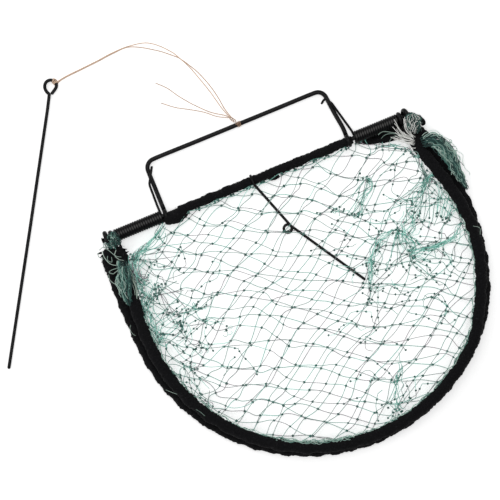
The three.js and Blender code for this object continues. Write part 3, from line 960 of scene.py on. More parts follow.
def sheet(hoop, bunches, height_at, seed, phase, spill):
    """Knotted diamond netting between the bar and one hoop: its strands and its knots."""
    rng = rng_for(seed)
    border = net_border(hoop)
    nodes = mesh_knots(border, bunches, height_at, phase, spill, rng)
    within = dict(zip(nodes, inside(np.array(list(nodes.values())), border)))

    def direction(key, step):
        """The way one family of strands runs through a knot."""
        row, column = key
        here = nodes[key]
        run = nodes.get((row + 1, column + step), here) - nodes.get((row - 1, column - step), here)
        size = np.linalg.norm(run)
        run = run / size if size > 1e-6 else np.array([step, -0.6, 0.0])
        angle = rng.normal() * 0.19 * unruly(here[0], here[1])
        cos, sin = math.cos(angle), math.sin(angle)
        return unit(np.array([run[0] * cos - run[1] * sin, run[0] * sin + run[1] * cos, run[2] * 0.3]))

    headings = {(key, step): direction(key, step) for key in nodes for step in (-1, 1)}
    strands, knots = Bunch(), Bunch()
    used = set()
    for key in nodes:
        for step in (-1, 1):
            other = (key[0] + 1, key[1] + step)
            if other not in nodes or not (within[key] or within[other]):
                continue
            ends = (nodes[key], nodes[other], headings[key, step], headings[other, step])
            path = strand_path(*ends, rng, 0.25 * unruly(*nodes[key][:2]))
            if key[0] and not (within[key] and within[other]):
                path = cut_at_border(path, border, within[key])
            if len(path) < 3:
                continue
            for point in path:
                point[2] = clear_height(point, height_at)
            strands.line(path, STRAND, np.clip(rng.normal(0.42, 0.22), 0.08, 1))
            used.update((key, other))
    for key in nodes:
        if key in used and (within[key] or key[0] == 0):
            place_at = nodes[key].copy()
            place_at[2] = clear_height(place_at, height_at)
            across = headings[key, 1] + headings[key, -1]
            knot(knots, place_at, across, rng, rng.uniform(0.85, 1.15), rng.uniform(0, 1))
    return strands, knots


def lay(bunch, runs, spacing, radius, rng, tints, sides=5):
    """Single threads on smooth curves through their stops."""
    for stops in runs:
        bunch.line(curve(stops, spacing), radius, rng.uniform(*tints), sides)


def widening(spine, width, spacing):
    """A smooth spine with the width at each of its points."""
    guide = curve(np.column_stack([spine, width]), spacing)
    return guide[:, :3], guide[:, 3]


def bundle(bunch, spine, width, depth, count, radius, rng, tints, loose, trim):
    """Strands that run side by side along a spine, each cut at both ends by up to a share, the trim."""
    line, wide = widening(spine, width, STEP)
    across = to_the_left(line)
    for _ in range(count):
        at = rng.uniform(-1, 1)
        drift = at + loose * wander(len(line), STEP, rng.uniform(25, 70), rng)
        rise = depth * (rng.uniform(-0.5, 0.5) + 0.25 * wander(len(line), STEP, 20.0, rng))
        crown = depth * 0.5 * np.clip(1 - drift**2, -0.5, 1)
        path = line + across * (drift * wide / 2)[:, None]
        path[:, 2] = np.maximum(path[:, 2] + (rise + crown), radius + 0.1)
        first = int(rng.uniform(0, trim) * len(line))
        last = len(line) - int(rng.uniform(0, trim) * len(line))
        if last - first > 4:
            bunch.line(path[first:last], radius * rng.uniform(0.8, 1.2), rng.uniform(*tints))


def locks(bunch, spine, width, count, strands, radius, rng, tints):
    """Locks of a tassel: wavy wisps whose strands part from one another towards their ends."""
    line, wide = widening(spine, width, STEP)
    across = to_the_left(line)
    run = np.linspace(0, 1, len(line))
    for at in np.linspace(-0.85, 0.85, count):
        first = int(rng.uniform(0, 0.35) * len(line))
        last = int(rng.uniform(0.6, 1.0) * len(line))
        sway = at + 0.3 * wander(len(line), STEP, rng.uniform(18, 40), rng)
        middle = line + across * (sway * wide / 2)[:, None]
        middle[:, 2] += rng.uniform(1.0, 2.5)
        wisp = middle[first:last]
        if len(wisp) < 8:
            continue
        tone = rng.uniform(*tints)
        for _ in range(strands):
            drift = wander(len(wisp), STEP, rng.uniform(10, 30), rng) * 0.5 + rng.normal() * 1.2
            stray = drift * (0.7 + 1.3 * run[: len(wisp)])
            path = wisp + across[first:last] * stray[:, None]
            path[:, 2] += rng.normal() * 0.5
            end = len(path) - rng.integers(0, 6)
            bunch.line(path[:end], radius, np.clip(tone + rng.normal() * 0.3, 0, 1))


def curls(bunch, spine, width, count, radius, rng, tints):
    """Short curly runs of twine strewn along a spine."""
    line, wide = widening(spine, width, 1.0)
    across = np.cross(UP, unit(np.gradient(line, axis=0)))
    for _ in range(count):
        first = rng.integers(0, max(len(line) - 22, 1))
        part = slice(first, first + rng.integers(10, 22))
        path = line[part].copy()
        shift = rng.uniform(-0.45, 0.45) * wide[part]
        size = rng.uniform(1.0, 3.0)
        turn = np.arange(len(path)) / rng.uniform(1.5, 3.0) + rng.uniform(0, 6.3)
        path += across[part] * (shift + size * np.cos(turn))[:, None]
        path[:, 1] += size * np.sin(turn)
        path[:, 2] += rng.uniform(-1, 1) + 0.5 * np.sin(turn * 0.7)
        bunch.line(curve(path, 0.6), radius * rng.uniform(0.8, 1.2), rng.uniform(*tints))


def fan(strands, knots, root, heart, spread, count, rng):
    """Slack strands that leave one gathered place and open out, some with knots on them."""
    root, heart = np.array(root, float), np.array(heart, float)
    ahead = unit(heart - root)
    side = np.cross(UP, ahead)
    for share in np.linspace(-0.5, 0.5, count):
        end = heart + side * spread * share + ahead * rng.normal() * 4
        bow = side * spread * share * rng.uniform(0.1, 0.7) + rng.normal(size=3) * [3.0, 3.0, 0.2]
        middle = root + 0.5 * (end - root) + bow
        near = root + 0.2 * (end - root) + bow * 0.8
        path = curve([root + rng.normal(size=3) * [1, 1, 0.3], near, middle, end], 1.2)
        strands.line(path, STRAND, rng.uniform(0.08, 0.9))
        for chance, place_at, size in ((0.5, end, 1.0), (0.3, path[len(path) // 2], 0.9)):
            if rng.uniform() < chance:
                knot(knots, place_at, rng.normal(size=3), rng, size, rng.uniform())


def comb(strands, knots, roots, ends, count, rng):
    """Side-by-side strands from a stretch of the hoop's cloth to a row of knots."""
    for root, end in zip(resample_to(roots, count), resample_to(ends, count)):
        end = end + rng.normal(size=2) * 1.6
        bow = rng.normal(size=2) * 1.5
        flat = [root, root + 0.4 * (end - root) + bow, root + 0.8 * (end - root) + bow * 0.6, end]
        stops = [(x, y, upper_height(x, y)) for x, y in flat]
        strands.line(curve(stops, 1.2), STRAND * 0.9, rng.uniform(0.6, 1.0))
        knot(knots, np.array(stops[-1]), rng.normal(size=3), rng, 1.0, rng.uniform())


def crumples(strands, knots, middle, reach, count, rng):
    """Meshes fallen together within an oval: runs of close knots with slack twine between."""
    border = net_border(UPPER_HOOP)
    for _ in range(count):
        bearing, distance = rng.uniform(0, TURN), math.sqrt(rng.uniform())
        x = middle[0] + reach[0] * distance * math.cos(bearing)
        y = middle[1] + reach[1] * distance * math.sin(bearing)
        heading = rng.uniform(0, TURN)
        here = np.array([x, y, upper_height(x, y) + rng.uniform(-1, 1)])
        leaves = np.array([math.cos(heading), math.sin(heading), 0.0])
        for _ in range(rng.integers(2, 6)):
            heading += rng.normal() * 0.8
            arrives = np.array([math.cos(heading), math.sin(heading), 0.0])
            there = here + rng.uniform(5, 14) * unit(leaves + arrives)
            if not inside(np.array([here, there]), border).all():
                break
            there[2] = clear_height(there, upper_height)
            path = strand_path(here, there, leaves, arrives, rng, 0.45)
            strands.line(path, STRAND * 0.85, np.clip(rng.normal(0.6, 0.3), 0.05, 1))
            knot(knots, there, arrives, rng, 0.9, rng.uniform())
            here, leaves = there, arrives


def tangle(bunch, middle, reach, count, radius, rng, tints):
    """Loose loops of twine within an oval."""
    middle, reach = np.array(middle, float), np.array(reach, float)
    for _ in range(count):
        base = middle + reach * rng.uniform(-0.75, 0.75, 3) * np.array([1, 1, 0.6])
        start = rng.uniform(0, TURN)
        angles = start + np.linspace(0, rng.uniform(2.5, 6.5), 5)
        wide, deep = rng.uniform(0.2, 0.55, 2) * reach[:2]
        rise = 0.35 * reach[2] * rng.normal(size=5)
        stops = base + np.column_stack([wide * np.cos(angles), deep * np.sin(angles), rise])
        stops[:, 2] = np.maximum(stops[:, 2], radius + 0.1)
        bunch.line(curve(stops, 0.9), radius * rng.uniform(0.8, 1.2), rng.uniform(*tints))


def scallops(strands, knots, height, phase, rng):
    """The cord along the bar that the first row of meshes is tied to."""
    ties = phase + np.arange(-6, 7) * 2 * MESH_HALF_WIDTH
    ties = ties[(ties > -78) & (ties < 100)]
    stops = []
    for first, second in zip(ties[:-1], ties[1:]):
        stops.append((first, -4.6 + rng.normal() * 0.3, height))
        stops.append(((first + second) / 2, -6.4 - rng.uniform(0, 2.0), height - 1))
    stops.append((ties[-1], -4.6, height))
    strands.line(curve(stops, 1.2), STRAND * 1.15, 0.6)
    for x in np.repeat(ties, 3):
        spot = np.array([x + rng.normal() * 1.6, -5.2 - rng.uniform(0, 2.4), height])
        knot(knots, spot, (1.0, 0.3), rng, 1.0, rng.uniform(0.3, 1))


def lower_netting():
    bunches = LEFT_BUNCHES[::2] + RIGHT_BUNCHES[::2]
    strands, knots = sheet(LOWER_HOOP, bunches, lower_height, 101, LOWER_PHASE, (55, 30))
    scallops(strands, knots, 5.0, LOWER_PHASE, rng_for(102))
    place(strands, "lower_net_strands", NET_TWINE, "frame", "lower_net")
    place(knots, "lower_net_knots", KNOT_TWINE, "frame")


# Gathered runs of the upper net: the spine, its width at each point, and the number of strands.
ROPES = [
    # the left edge, from the binding to the hoop
    ([(-97, -6, 9), (-106, -12, 9), (-115, -17, 9), (-125, -21, 10), (-134, -25, 11)], [1, 1, 2, 3, 6], 2),
    ([(-95, -9, 9), (-104, -17, 9), (-113, -22, 9), (-124, -24, 10), (-133, -28, 11)], [1, 4, 5, 3, 5], 2),
    # gathers on the right
    (
        [
            (165, -116, 13), (158, -120, 12), (149, -124, 10),
            (134, -125, 9), (120, -123, 8.5), (107, -122, 8.5),
        ],
        [13, 9, 4, 3, 5, 9],
        14,
    ),
    ([(102, -98, 9), (106, -106, 9), (110, -114, 9), (113, -122, 9)], [12, 14, 12, 6], 9),
    (
        [(101, -95, 9), (90, -99, 9), (80, -104, 9), (72, -112, 9), (67, -124, 9), (63, -137, 9)],
        [4, 9, 8, 8, 5, 7],
        7,
    ),
    ([(164, -64, 14), (155, -62, 12), (147, -66, 11), (135, -74, 9), (122, -82, 9)], [5, 5, 8, 12, 16], 9),
    ([(122, -82, 9), (119, -92, 9), (113, -102, 9), (107, -110, 9)], [12, 14, 14, 12], 8),
    ([(95, -36, 9), (98, -43, 9), (97, -50, 9), (84, -58, 9), (75, -70, 9)], [5, 4, 6, 9, 6], 6),
    # the gather at the lower right
    (
        [(63, -205, 9), (57, -221, 9), (50, -230, 9), (45, -240, 9), (40, -252, 10), (44, -259, 12)],
        [7, 5, 8, 7, 7, 10],
        5,
    ),
]
EDGE_ROPES = 2  # the first ones, which are deeper than the rest
GATHERED = [
    (-131, -22, 11), (-136, -30, 11), (-138, -40, 11), (-140, -49, 11), (-142, -59, 11),
    (-144, -68, 12), (-145, -80, 12), (-145, -95, 12), (-143, -109, 12), (-140, -122, 12),
]
GATHERED_WIDTH = [12, 15, 13, 13, 12, 10, 9, 8, 7, 5]
HANK = [
    (-98, -7, 9), (-111, -16, 9), (-123, -22, 10), (-132, -26, 11), (-137.5, -32, 11.5),
    (-139, -40, 12), (-136, -48, 11), (-132, -53, 10),
]
HANK_WIDTH = [2, 3, 5, 8, 9, 8, 8, 7]
FANS = [
    ((-125, -60, 9), (-117, -92, 9), 34, 5),
    ((-137, -28, 11), (-100, -46, 9), 40, 4),
    ((-138, -70, 11), (-112, -76, 9), 30, 4),
    ((103, -99, 9), (92, -128, 9), 22, 5),
    ((147, -65, 11), (128, -98, 9), 26, 6),
    ((96, -40, 9), (70, -62, 9), 20, 4),
    ((109, -121, 9), (128, -142, 9), 22, 5),
]


def upper_netting():
    thin = STRAND * 0.85
    bunches = LEFT_BUNCHES + RIGHT_BUNCHES
    strands, knots = net = sheet(UPPER_HOOP, bunches, upper_height, 201, UPPER_PHASE, (60, 45))
    scallops(*net, 9.0, UPPER_PHASE, rng_for(202))
    rng = rng_for(203)
    for i, (spine, width, count) in enumerate(ROPES):
        depth = 1.2 if i < EDGE_ROPES else 1
        bundle(strands, spine, width, depth, count, thin, rng, (0.65, 1.0), 0.7, 0.25)
    bundle(strands, GATHERED, GATHERED_WIDTH, 3.0, 9, STRAND * 0.9, rng, (0.6, 1.0), 1.1, 0.5)
    curls(strands, GATHERED, GATHERED_WIDTH, 24, STRAND * 0.9, rng, (0.8, 1.0))
    curls(strands, GATHERED, GATHERED_WIDTH, 9, STRAND, rng, (0.0, 0.05))
    comb(*net, [(157, -76), (162, -86), (166, -100)], [(143, -96), (149, -102), (155, -108)], 11, rng)
    comb(*net, [(-143, -88), (-142, -100), (-140, -114)], [(-124, -84), (-119, -96), (-122, -108)], 8, rng)
    for root, heart, spread, count in FANS:
        fan(*net, root, heart, spread, count, rng)
    for x, y, _, pull in bunches:
        height = upper_height(x, y)
        tangle(strands, (x, y, height), (5, 5, 1.5), int(7 * pull), thin, rng, (0.4, 1))
        for _ in range(int(7 * pull)):
            spot = np.array([x, y, height]) + rng.normal(size=3) * [3, 3, 0.4]
            knot(knots, spot, rng.normal(size=3), rng, 1.0, rng.uniform())
    crumples(*net, (98, -112), (58, 72), 46, rng)
    crumples(*net, (-112, -100), (34, 78), 24, rng)
    crumples(*net, (46, -212), (18, 46), 14, rng)
    # the hank that the left corner is drawn up into
    rng = rng_for(204)
    bundle(strands, HANK, HANK_WIDTH, 2.5, 15, thin, rng, (0.75, 1.0), 0.9, 0.45)
    curls(strands, HANK[5:], [8, 9, 8], 9, STRAND, rng, (0.0, 0.3))
    place(strands, "upper_net_strands", NET_TWINE, "hoop", "upper_net")
    place(knots, "upper_net_knots", KNOT_TWINE, "hoop")


def lacing(hoop, lift, name, body, seed):
    """The border twine of a sheet, which wanders along the inside of the hoop's cloth."""
    rng = rng_for(seed)
    bunch = Bunch()
    rim = inset(hoop_outline(hoop), CLOTH_HALF + 1.5)
    step = 2.0
    rim = resample(rim[-rim[:, 1] > 78] + [0, 0, lift], step)
    for strand in range(3):
        sway = wander(len(rim), step, 23.0 + 5 * strand, rng)
        path = inset(rim, 1.5 * sway + 0.5 * strand - 0.4)
        path[:, 2] += 0.6 * wander(len(rim), step, 17.0, rng) + 0.3 * strand
        path[:, 2] = np.maximum(path[:, 2], GROUND)
        bunch.line(path, LACING, 0.6 + 0.2 * strand)
    gathered = rim[(rim[:, 0] < 0) & (rim[:, 0] > -82) & (-rim[:, 1] > 150)]
    for _ in range(5):
        first, last = rng.integers(0, 8), rng.integers(len(gathered) - 14, len(gathered))
        path = gathered[first:last]
        path = inset(path, 2.2 * wander(len(path), step, 30.0, rng) - 0.2)
        path[:, 2] = np.maximum(path[:, 2] + 2.4 + 0.5 * wander(len(path), step, 13.0, rng), GROUND)
        bunch.line(curve(path, 1.0), 0.3, rng.uniform(0.6, 1.0))
    place(bunch, f"{name}_twine", TASSEL_TWINE, body, name)


lower_netting()
upper_netting()
lacing(LOWER_HOOP, 1.4 - LOWER_HEIGHT, "lower_net_lacing", "frame", 301)
lacing(UPPER_HOOP, 1.0, "upper_net_lacing", "hoop", 302)


# ======== tassels and bindings at the corners

LEFT_TASSEL = [
    (-147.5, -24, 15.5), (-150, -34, 17.5), (-153.5, -46, 19.5),
    (-156.3, -57, 20), (-156.5, -67, 19),
]
PALE_EDGE = [(-144.5, -29, 16), (-145, -42, 17), (-146, -54, 17), (-149, -64, 17)]
PALE_TURNS = [
    [(-164, -7, 13), (-159, -6, 15.5), (-156, -10, 16), (-151, -18.5, 16), (-147, -21, 13)],
    [(-161.4, -9, 14), (-162, -14, 15.5), (-159, -23, 16), (-153.5, -26.7, 16.5), (-147, -26.5, 16)],
    [(-147.6, -28.4, 16), (-153.7, -29.3, 17), (-160, -29.0, 16), (-163.3, -30, 14), (-160, -33, 16)],
    [(-160, -33, 16), (-152, -31, 17), (-144, -32, 14)],
    [(-164.5, -32, 13), (-165.2, -36.7, 14.5), (-162, -42.5, 17), (-159, -45, 18)],
    [(-158.5, -15, 15.5), (-160, -19, 15.5), (-157, -22, 15.8), (-155.5, -17.5, 15.8)],
    [(-149, -13, 15), (-152, -17, 16), (-150, -22, 16), (-146, -25, 14)],
    [(-165.5, -9, 12), (-167.0, -12, 12.5), (-163.5, -16.5, 13.5)],
]
RIGHT_TASSEL = [
    (157, -29, 16), (165, -29.5, 16.5), (171, -33.5, 16), (175.4, -42.6, 15.5), (177.2, -52.4, 14.5),
    (178.5, -64.4, 13.5), (179.3, -76, 12.5), (181.4, -86, 12),
]
TUFT = [(163, -2.5, 12.5), (159, -6, 14), (155.5, -12, 15), (153.5, -18, 15)]
# White threads in fans: where each starts, bends and ends, and the number of threads.
WHITE_FANS = [
    ((151.5, -21, 15), (147.5, -11, 16), (150, -2.5, 14.8), 4),
    ((152, -19, 15.5), (150.5, -10, 16), (153, -4, 15.2), 3),
    ((150.5, -22, 15), (143.5, -12, 15.5), (141.4, -0.5, 13.8), 3),
    ((150.5, -22.5, 15), (143, -15, 15), (141.5, -7, 13.8), 4),
    ((150.5, -23.5, 14.5), (143, -18.5, 14), (137.5, -12, 13), 4),
    ((150.5, -25, 14), (142, -20.5, 13), (134, -13.5, 12.6), 4),
    ((150.5, -29, 13), (145, -25, 12), (137, -17.5, 11.5), 2),
    ((151, -32, 12.5), (145, -29, 11), (139, -21.5, 10.5), 2),
]
STRAYS = [
    [(122, -6, 13), (127, -5, 12.5), (135, -9, 12.6), (143, -15, 13), (150, -20, 14)],
    [(118, -18, 3), (123, -11, 5), (129, -8.5, 8), (137, -11, 11), (146, -18, 13)],
    [(126, -25, 3), (129, -17, 6), (135, -13, 9), (144, -17, 12)],
]
STITCHES = [
    [(-163, -84, 19.0), (-165, -87, 18.6), (-164.4, -92, 18.2), (-162.5, -95, 19.4)],
    [(-155.5, -153, 19.6), (-151, -157.5, 20), (-147, -161, 19.6)],
    [(-136, -181, 19.4), (-133, -185, 20), (-130.5, -190, 20)],
    [(172, -120, 19.6), (177, -124, 19.8), (175, -130, 19.6)],
]
# The ends of the cloth strips beside the bar: a line and half a thickness each.
RIGHT_ENDS = [
    ([(150, -2.0, 9), (156, -0.4, 9.6), (161.4, -2.8, 9.4), (165.2, -8.0, 8.8), (165.8, -14, 8)], 2.8),
    ([(150.5, -14, 8.6), (152.5, -20, 8.8), (155.5, -27, 9.4), (158.5, -35, 10.4)], 5.6),
    ([(156.5, -13, 7), (161, -20, 6.6), (165, -28, 6.3), (168, -38, 6.0)], 5.6),
    ([(160, -30, 3.6), (163.3, -42, 3.5), (166.2, -55, 3.5), (168.5, -66, 3.5)], 3.0),
]
LEFT_ENDS = [
    ([(-156, -9, 7), (-159, -16, 7), (-161, -25, 6.5), (-161.5, -36, 6.0)], 5.9),
    ([(-147.5, -10.5, 8), (-148.5, -20, 8.2), (-150, -30, 8.8)], 6.2),
]
# Torn points of the left strips: x, y, and how far each one stands out.
LEFT_POINTS = [
    (-163, -10, -5, 0.5), (-163, -13, -3.4, -1), (-164, -19, -3, 1), (-143, -15, 4, -1),
    (-142.5, -19, 4.2, 0.5), (-143, -23, 4, -1.4), (-143, -27, 3.4, 1.0),
]


def left_corner():
    rng = rng_for(401)
    tassel = Bunch()
    bundle(tassel, LEFT_TASSEL, [9, 12, 12, 7, 1.5], 2.2, 44, 0.3, rng, (0.0, 0.3), 0.25, 0.15)
    locks(tassel, LEFT_TASSEL, [9, 12, 11, 7, 2], 11, 3, 0.27, rng, (0.3, 1.0))
    tangle(tassel, (-147.0, -3.2, 13), (4.8, 7.4, 3.5), 52, 0.3, rng, (0.0, 0.35))
    tangle(tassel, (-147.2, -3.4, 14.5), (4.8, 7.0, 2), 13, 0.27, rng, (0.6, 1.0))
    tangle(tassel, (-154.5, -7, 12), (4, 5, 3), 18, 0.26, rng, (0.0, 0.9))
    place(tassel, "tassel_left", TASSEL_TWINE, "hoop", "net_tassel_left")

    pale = Bunch()
    bundle(pale, PALE_EDGE, [3, 2.5, 3, 2], 1.5, 5, 0.3, rng, (0.5, 1.0), 0.35, 0.12)
    lay(pale, PALE_TURNS, 0.8, 0.33, rng, (0.1, 0.9), 7)
    place(pale, "twine_left", PALE_TWINE, "hoop", "twine_lashing_left")


def right_corner():
    rng = rng_for(402)
    tassel = Bunch()
    bundle(tassel, RIGHT_TASSEL, [8, 11, 12, 12, 11, 8, 5, 3], 2.6, 60, 0.3, rng, (0.0, 0.3), 0.2, 0.15)
    locks(tassel, RIGHT_TASSEL, [9, 13, 15, 15, 14, 12, 10, 9], 14, 5, 0.28, rng, (0.3, 0.95))
    tangle(tassel, (179, -42, 15), (6, 7, 3), 12, 0.28, rng, (0.1, 1.0))
    bundle(tassel, TUFT, [8, 11, 12, 8], 3.6, 50, 0.29, rng, (0.0, 0.25), 0.5, 0.4)
    locks(tassel, TUFT, [11, 15, 13, 8], 8, 3, 0.26, rng, (0.3, 1.0))
    tangle(tassel, (159, -8.5, 13.8), (6.4, 6.2, 3.8), 24, 0.25, rng, (0.0, 1.0))
    place(tassel, "tassel_right", TASSEL_TWINE, "hoop", "net_tassel_right")

    white = Bunch()
    for root, middle, tip, count in WHITE_FANS:
        for _ in range(count):
            shift = rng.normal(size=3) * [0.9, 0.9, 0.3]
            ends = rng.normal(size=3) * [1.4, 1.4, 0.3]
            stops = [root + shift, middle + shift * 0.7 + ends * 0.4, tip + ends]
            white.line(curve(stops, 0.8), 0.3, rng.uniform(), 6)
    bundle(white, TUFT, [9, 14, 12, 8], 6.5, 14, 0.26, rng, (0, 1), 0.7, 0.55)
    tangle(white, (160, -8, 15), (6.5, 6.5, 3), 9, 0.25, rng, (0, 1))
    place(white, "thread_right", WHITE_THREAD, "hoop", "thread_lashing_right")

    strays = Bunch()
    lay(strays, STRAYS, 1.0, 0.3, rng, (0.1, 0.6))
    lay(strays, STITCHES, 1.0, 0.22, rng, (0.2, 0.8))
    place(strays, "stray_threads", PALE_TWINE, "hoop")

    cap = Bunch()
    for stops, half in RIGHT_ENDS:
        path = roll(cap, stops, half, 6.0, rng, 0.35, 0.5, 0.95)
        lint(cap, path, half - 0.2, 30, rng, 2.0)
    place(cap, "cloth_end_right", CLOTH, "frame")


def ragged_cloth_left():
    """The torn end of the left strips, bunched over both hoops beside the bar."""
    rng = rng_for(403)
    bunch = Bunch()
    for stops, half in LEFT_ENDS:
        path = roll(bunch, stops, half, 5.5, rng, 0.45, 0.45, 0.95)
        lint(bunch, path, half - 0.3, 60, rng, 3.0)
    for x, y, dx, dy in LEFT_POINTS:
        point = curve([(x, y, 8), (x + dx / 2, y + dy / 2, 8.6), (x + dx, y + dy, 8)], 0.5)
        bunch.line(point, np.linspace(1.5, 0.15, len(point)), sides=6)
    place(bunch, "cloth_end_left", CLOTH, "frame")


left_corner()
right_corner()
ragged_cloth_left()


# ======== trigger needle, latch rod and cord

# The rod's eye from its neck onwards, from the middle of the eye.
ROD_LOOP = [
    (-5.6, -3.3), (-5.8, 1.0), (-3.6, 4.6), (0.0, 5.9),
    (3.8, 4.4), (5.8, 0.6), (4.4, -2.8), (-1.2, -6.6),
]
Z = 0.8  # of the cord where it lies on the ground
# The cord's two strands run side by side from the eye and part on the way to the bail.
SHARED_RUN = [
    (-142.4, 156.3, 1.2), (-134.4, 158.1, Z), (-115.4, 159.6, Z), (-98.4, 160.8, Z),
    (-81.3, 162.5, Z), (-65.2, 162.4, Z),
]
UPPER_RUN = [
    (-48.8, 159.1, Z), (-39.9, 153.3, Z), (-28.5, 140.7, Z), (-25.3, 134.9, 1.4), (-19.6, 123.4, Z),
    (-14.4, 108.1, Z), (-9.5, 91.7, Z), (-5.5, 74.5, 1.4), (-1.4, 62.7, 3.6),
]
LOWER_RUN = [
    (-41.9, 148.5, Z), (-28.7, 137.4, Z), (-25.5, 134.4, Z), (-18.2, 123.2, Z), (-13.2, 113.6, Z),
    (-8.3, 100.1, Z), (-5.0, 86.5, Z), (-3.1, 72.4, 1.6), (0.2, 61.0, 3.6),
]
FIRST_TAIL = [
    (-1.4, 62.7, 4), (-5.4, 66.7, 2), (-16.5, 74.5, Z), (-29.1, 87.5, Z), (-39.3, 100.6, Z),
    (-46.1, 111.2, Z), (-54.7, 120.3, Z),
]
SECOND_TAIL = [
    (-1.5, 62.3, 4), (-12.4, 68.4, 1.6), (-22.4, 76.9, Z), (-34.6, 84.8, Z), (-46, 91.5, Z),
    (-57.1, 100.7, Z),
]


def needle_path():
    """A hook round the bar, a straight run, one coil, and a straight run to the tip."""
    turn = np.radians(np.arange(-210, 91, 20))
    heights = BAR_HEIGHT + HOOK_RADIUS * np.sin(turn)
    hook = np.column_stack([0 * turn + NEEDLE_X, HOOK_RADIUS * np.cos(turn), heights])
    top = (NEEDLE_X + 0.2, -5.5, BAR_HEIGHT + HOOK_RADIUS - 0.4)
    share = np.linspace(0, 1, 31)
    turn = np.radians(20 - 348 * share)
    flat = COIL_CENTRE + COIL_RADIUS * np.column_stack([np.cos(turn), np.sin(turn)])
    coil = np.column_stack([flat, COIL_HEIGHT + COIL_RISE * (0.5 - share)])
    return resample(np.vstack([hook, top, coil, NEEDLE_TIP]), 0.7)


def rod_path():
    rise = np.linspace(-0.1, 0.3, len(ROD_LOOP))
    ring = np.column_stack([np.add(ROD_EYE, ROD_LOOP), ROD_EYE_HEIGHT + rise])
    neck = (*ROD_NECK, ROD_EYE_HEIGHT - 0.1)
    shank = [(*ROD_TIP, ROD_WIRE / 2), (-219, 35, 2.1), (-160, 134.5, ROD_EYE_HEIGHT - 0.1), neck]
    return np.vstack([resample(shank, 2.0)[:-1], curve([neck, *ring], 0.8)])


def plied(bunch, stops, radius, rng):
    """Two plies twisted together along a smooth curve."""
    path = curve(stops, 0.7)
    _, normals, binormals = frames(path)
    tint = rng.uniform(0.2, 0.9)
    for ply in range(2):
        angle = (TURN * lengths_along(path) / 2.8 + ply * math.pi)[:, None]
        offset = normals * np.cos(angle) + binormals * np.sin(angle)
        bunch.line(path + 0.45 * radius * offset, 0.66 * radius, tint)


def cord():
    """A doubled cord from the bail to the rod's eye, with two tails at the bail."""
    rng = rng_for(501)
    bunch = Bunch()
    plied(bunch, SHARED_RUN + UPPER_RUN, CORD, rng)
    plied(bunch, [(x, y - 0.9, height) for x, y, height in SHARED_RUN] + LOWER_RUN, CORD, rng)
    for tail in (FIRST_TAIL, SECOND_TAIL):
        plied(bunch, tail, CORD * 0.9, rng)
    for turn in range(3):
        middle = (-0.8 + 1.0 * turn, 61.2 - 1.5 * turn, 4.2)
        angles = np.linspace(0, TURN * 1.05, 12) + turn
        loop = np.column_stack([1.3 * np.cos(angles), np.sin(angles), 0.9 * np.sin(angles + 1)])
        bunch.line(curve(middle + loop, 0.6), CORD * 0.8, 0.1 + 0.2 * turn, 6)
    for rim_angle in np.radians([6, 12, 24, 36, 47]):
        outwards = np.array([math.cos(rim_angle), math.sin(rim_angle), 0])
        angles = (np.linspace(0, TURN * 0.98, 14) + rng.uniform(0, 2))[:, None]
        skew = rng.uniform(-0.8, 0.8) * np.cross(UP, outwards)
        middle = (*ROD_EYE, ROD_EYE_HEIGHT) + ROD_EYE_RADIUS * outwards
        loop = middle + CORD_LOOP * np.cos(angles) * outwards + np.sin(angles) * (skew + CORD_LOOP * UP)
        loop[:, 2] = np.maximum(loop[:, 2], GROUND)
        bunch.line(curve(loop, 0.6), CORD, 0.8, 6)
    place(bunch, "cord", TAN_CORD, "cord", "tie_cord")


def cord_on_bail():
    bunch = Bunch()
    radius = FRAME_WIRE / 2 + 0.45
    turn = np.linspace(0, TURN * 3.2, 70)
    heights = np.maximum(BAIL_HEIGHT + radius * np.cos(turn), GROUND)
    path = np.column_stack([1.4 + 0.62 * turn / 3, BAIL_REACH + radius * np.sin(turn), heights])
    plied(bunch, path, CORD * 0.8, rng_for(502))
    place(bunch, "cord_round_bail", TAN_CORD, "frame", "cord_turns")


wire(needle_path(), "needle", "trigger", "trigger_needle", NEEDLE_WIRE, 10)
wire(rod_path(), "rod", "rod", "latch_rod", ROD_WIRE, 14)
cord()
cord_on_bail()


# ======== floor, light and camera, in metres

FLOOR_HALF = 6.0
FLOOR_GLOW = 0.44
FLOOR_TONES = [(0.3, (0.90, 0.90, 0.90)), (0.7, (0.92, 0.92, 0.92))]
SKY_ON_TRAP = 0.42  # the sky's light on the trap
SKY_SEEN = 1.0  # what the camera sees beyond the floor
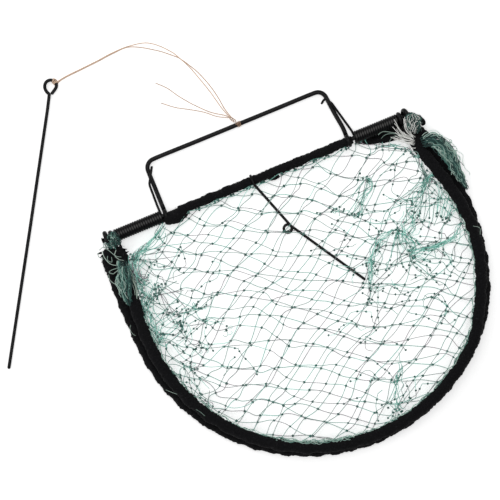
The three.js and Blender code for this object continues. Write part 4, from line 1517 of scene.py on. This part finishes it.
# Each light's name, place, width, length and power.
LIGHTS = [
    ("softbox_top", (0.1, 0.1, 1.7), 1.4, 1.4, 9.0),
    ("strip_back", (-0.25, 1.1, 1.0), 1.3, 0.16, 5.0),
    ("strip_left", (-1.2, 0.1, 0.9), 0.16, 1.2, 2.5),
]
VIEW_CENTRE = (-0.0317, -0.061)
VIEW_WIDTH = 0.475
VIEW_TURN = -22.28  # degrees, so that the bar runs up to the right
CAMERA_DISTANCE = 2.4  # from the trap's middle height
MIDDLE_HEIGHT = 0.006


def studio():
    floor_mesh = bpy.data.meshes.new("floor")
    corners = [(x * FLOOR_HALF, y * FLOOR_HALF, 0) for x, y in ((-1, -1), (1, -1), (1, 1), (-1, 1))]
    floor_mesh.from_pydata(corners, [], [(0, 1, 2, 3)])
    paint = Look("floor")
    paint.colour(paint.noise(200.0), FLOOR_TONES)
    white = (1, 1, 1, 1)
    glow = {"Emission_Color": white, "Emission_Strength": FLOOR_GLOW}
    paint.fill(paint.shader, {"Roughness": 0.9, "Specular_IOR_Level": 0.1, **glow})
    floor_mesh.materials.append(paint.material)
    add_object("floor", floor_mesh)

    world = bpy.data.worlds.new("studio")
    world.use_nodes = True
    tree = world.node_tree
    sky = tree.nodes["Background"]
    rays = tree.nodes.new("ShaderNodeLightPath")
    level = tree.nodes.new("ShaderNodeMapRange")
    level.inputs["To Min"].default_value = SKY_ON_TRAP
    level.inputs["To Max"].default_value = SKY_SEEN
    tree.links.new(rays.outputs["Is Camera Ray"], level.inputs["Value"])
    tree.links.new(level.outputs[0], sky.inputs["Strength"])
    sky.inputs["Color"].default_value = white
    bpy.context.scene.world = world

    for name, place_at, width, length, power in LIGHTS:
        light = bpy.data.lights.new(name, "AREA")
        light.shape = "RECTANGLE"
        light.size = width
        light.size_y = length
        light.energy = power
        lamp = add_object(name, light)
        lamp.location = place_at
        lamp.rotation_euler = (-Vector(place_at)).to_track_quat("-Z", "Y").to_euler()


def camera():
    """Straight above the trap."""
    data = bpy.data.cameras.new("camera")
    data.sensor_width = 36.0
    data.lens = data.sensor_width * CAMERA_DISTANCE / VIEW_WIDTH
    data.clip_end = 50
    made = add_object("camera", data)
    made.location = (*VIEW_CENTRE, CAMERA_DISTANCE + MIDDLE_HEIGHT)
    made.rotation_euler = (0, 0, math.radians(VIEW_TURN))
    bpy.context.scene.camera = made


studio()
camera()
bpy.context.scene.view_settings.view_transform = "Standard"
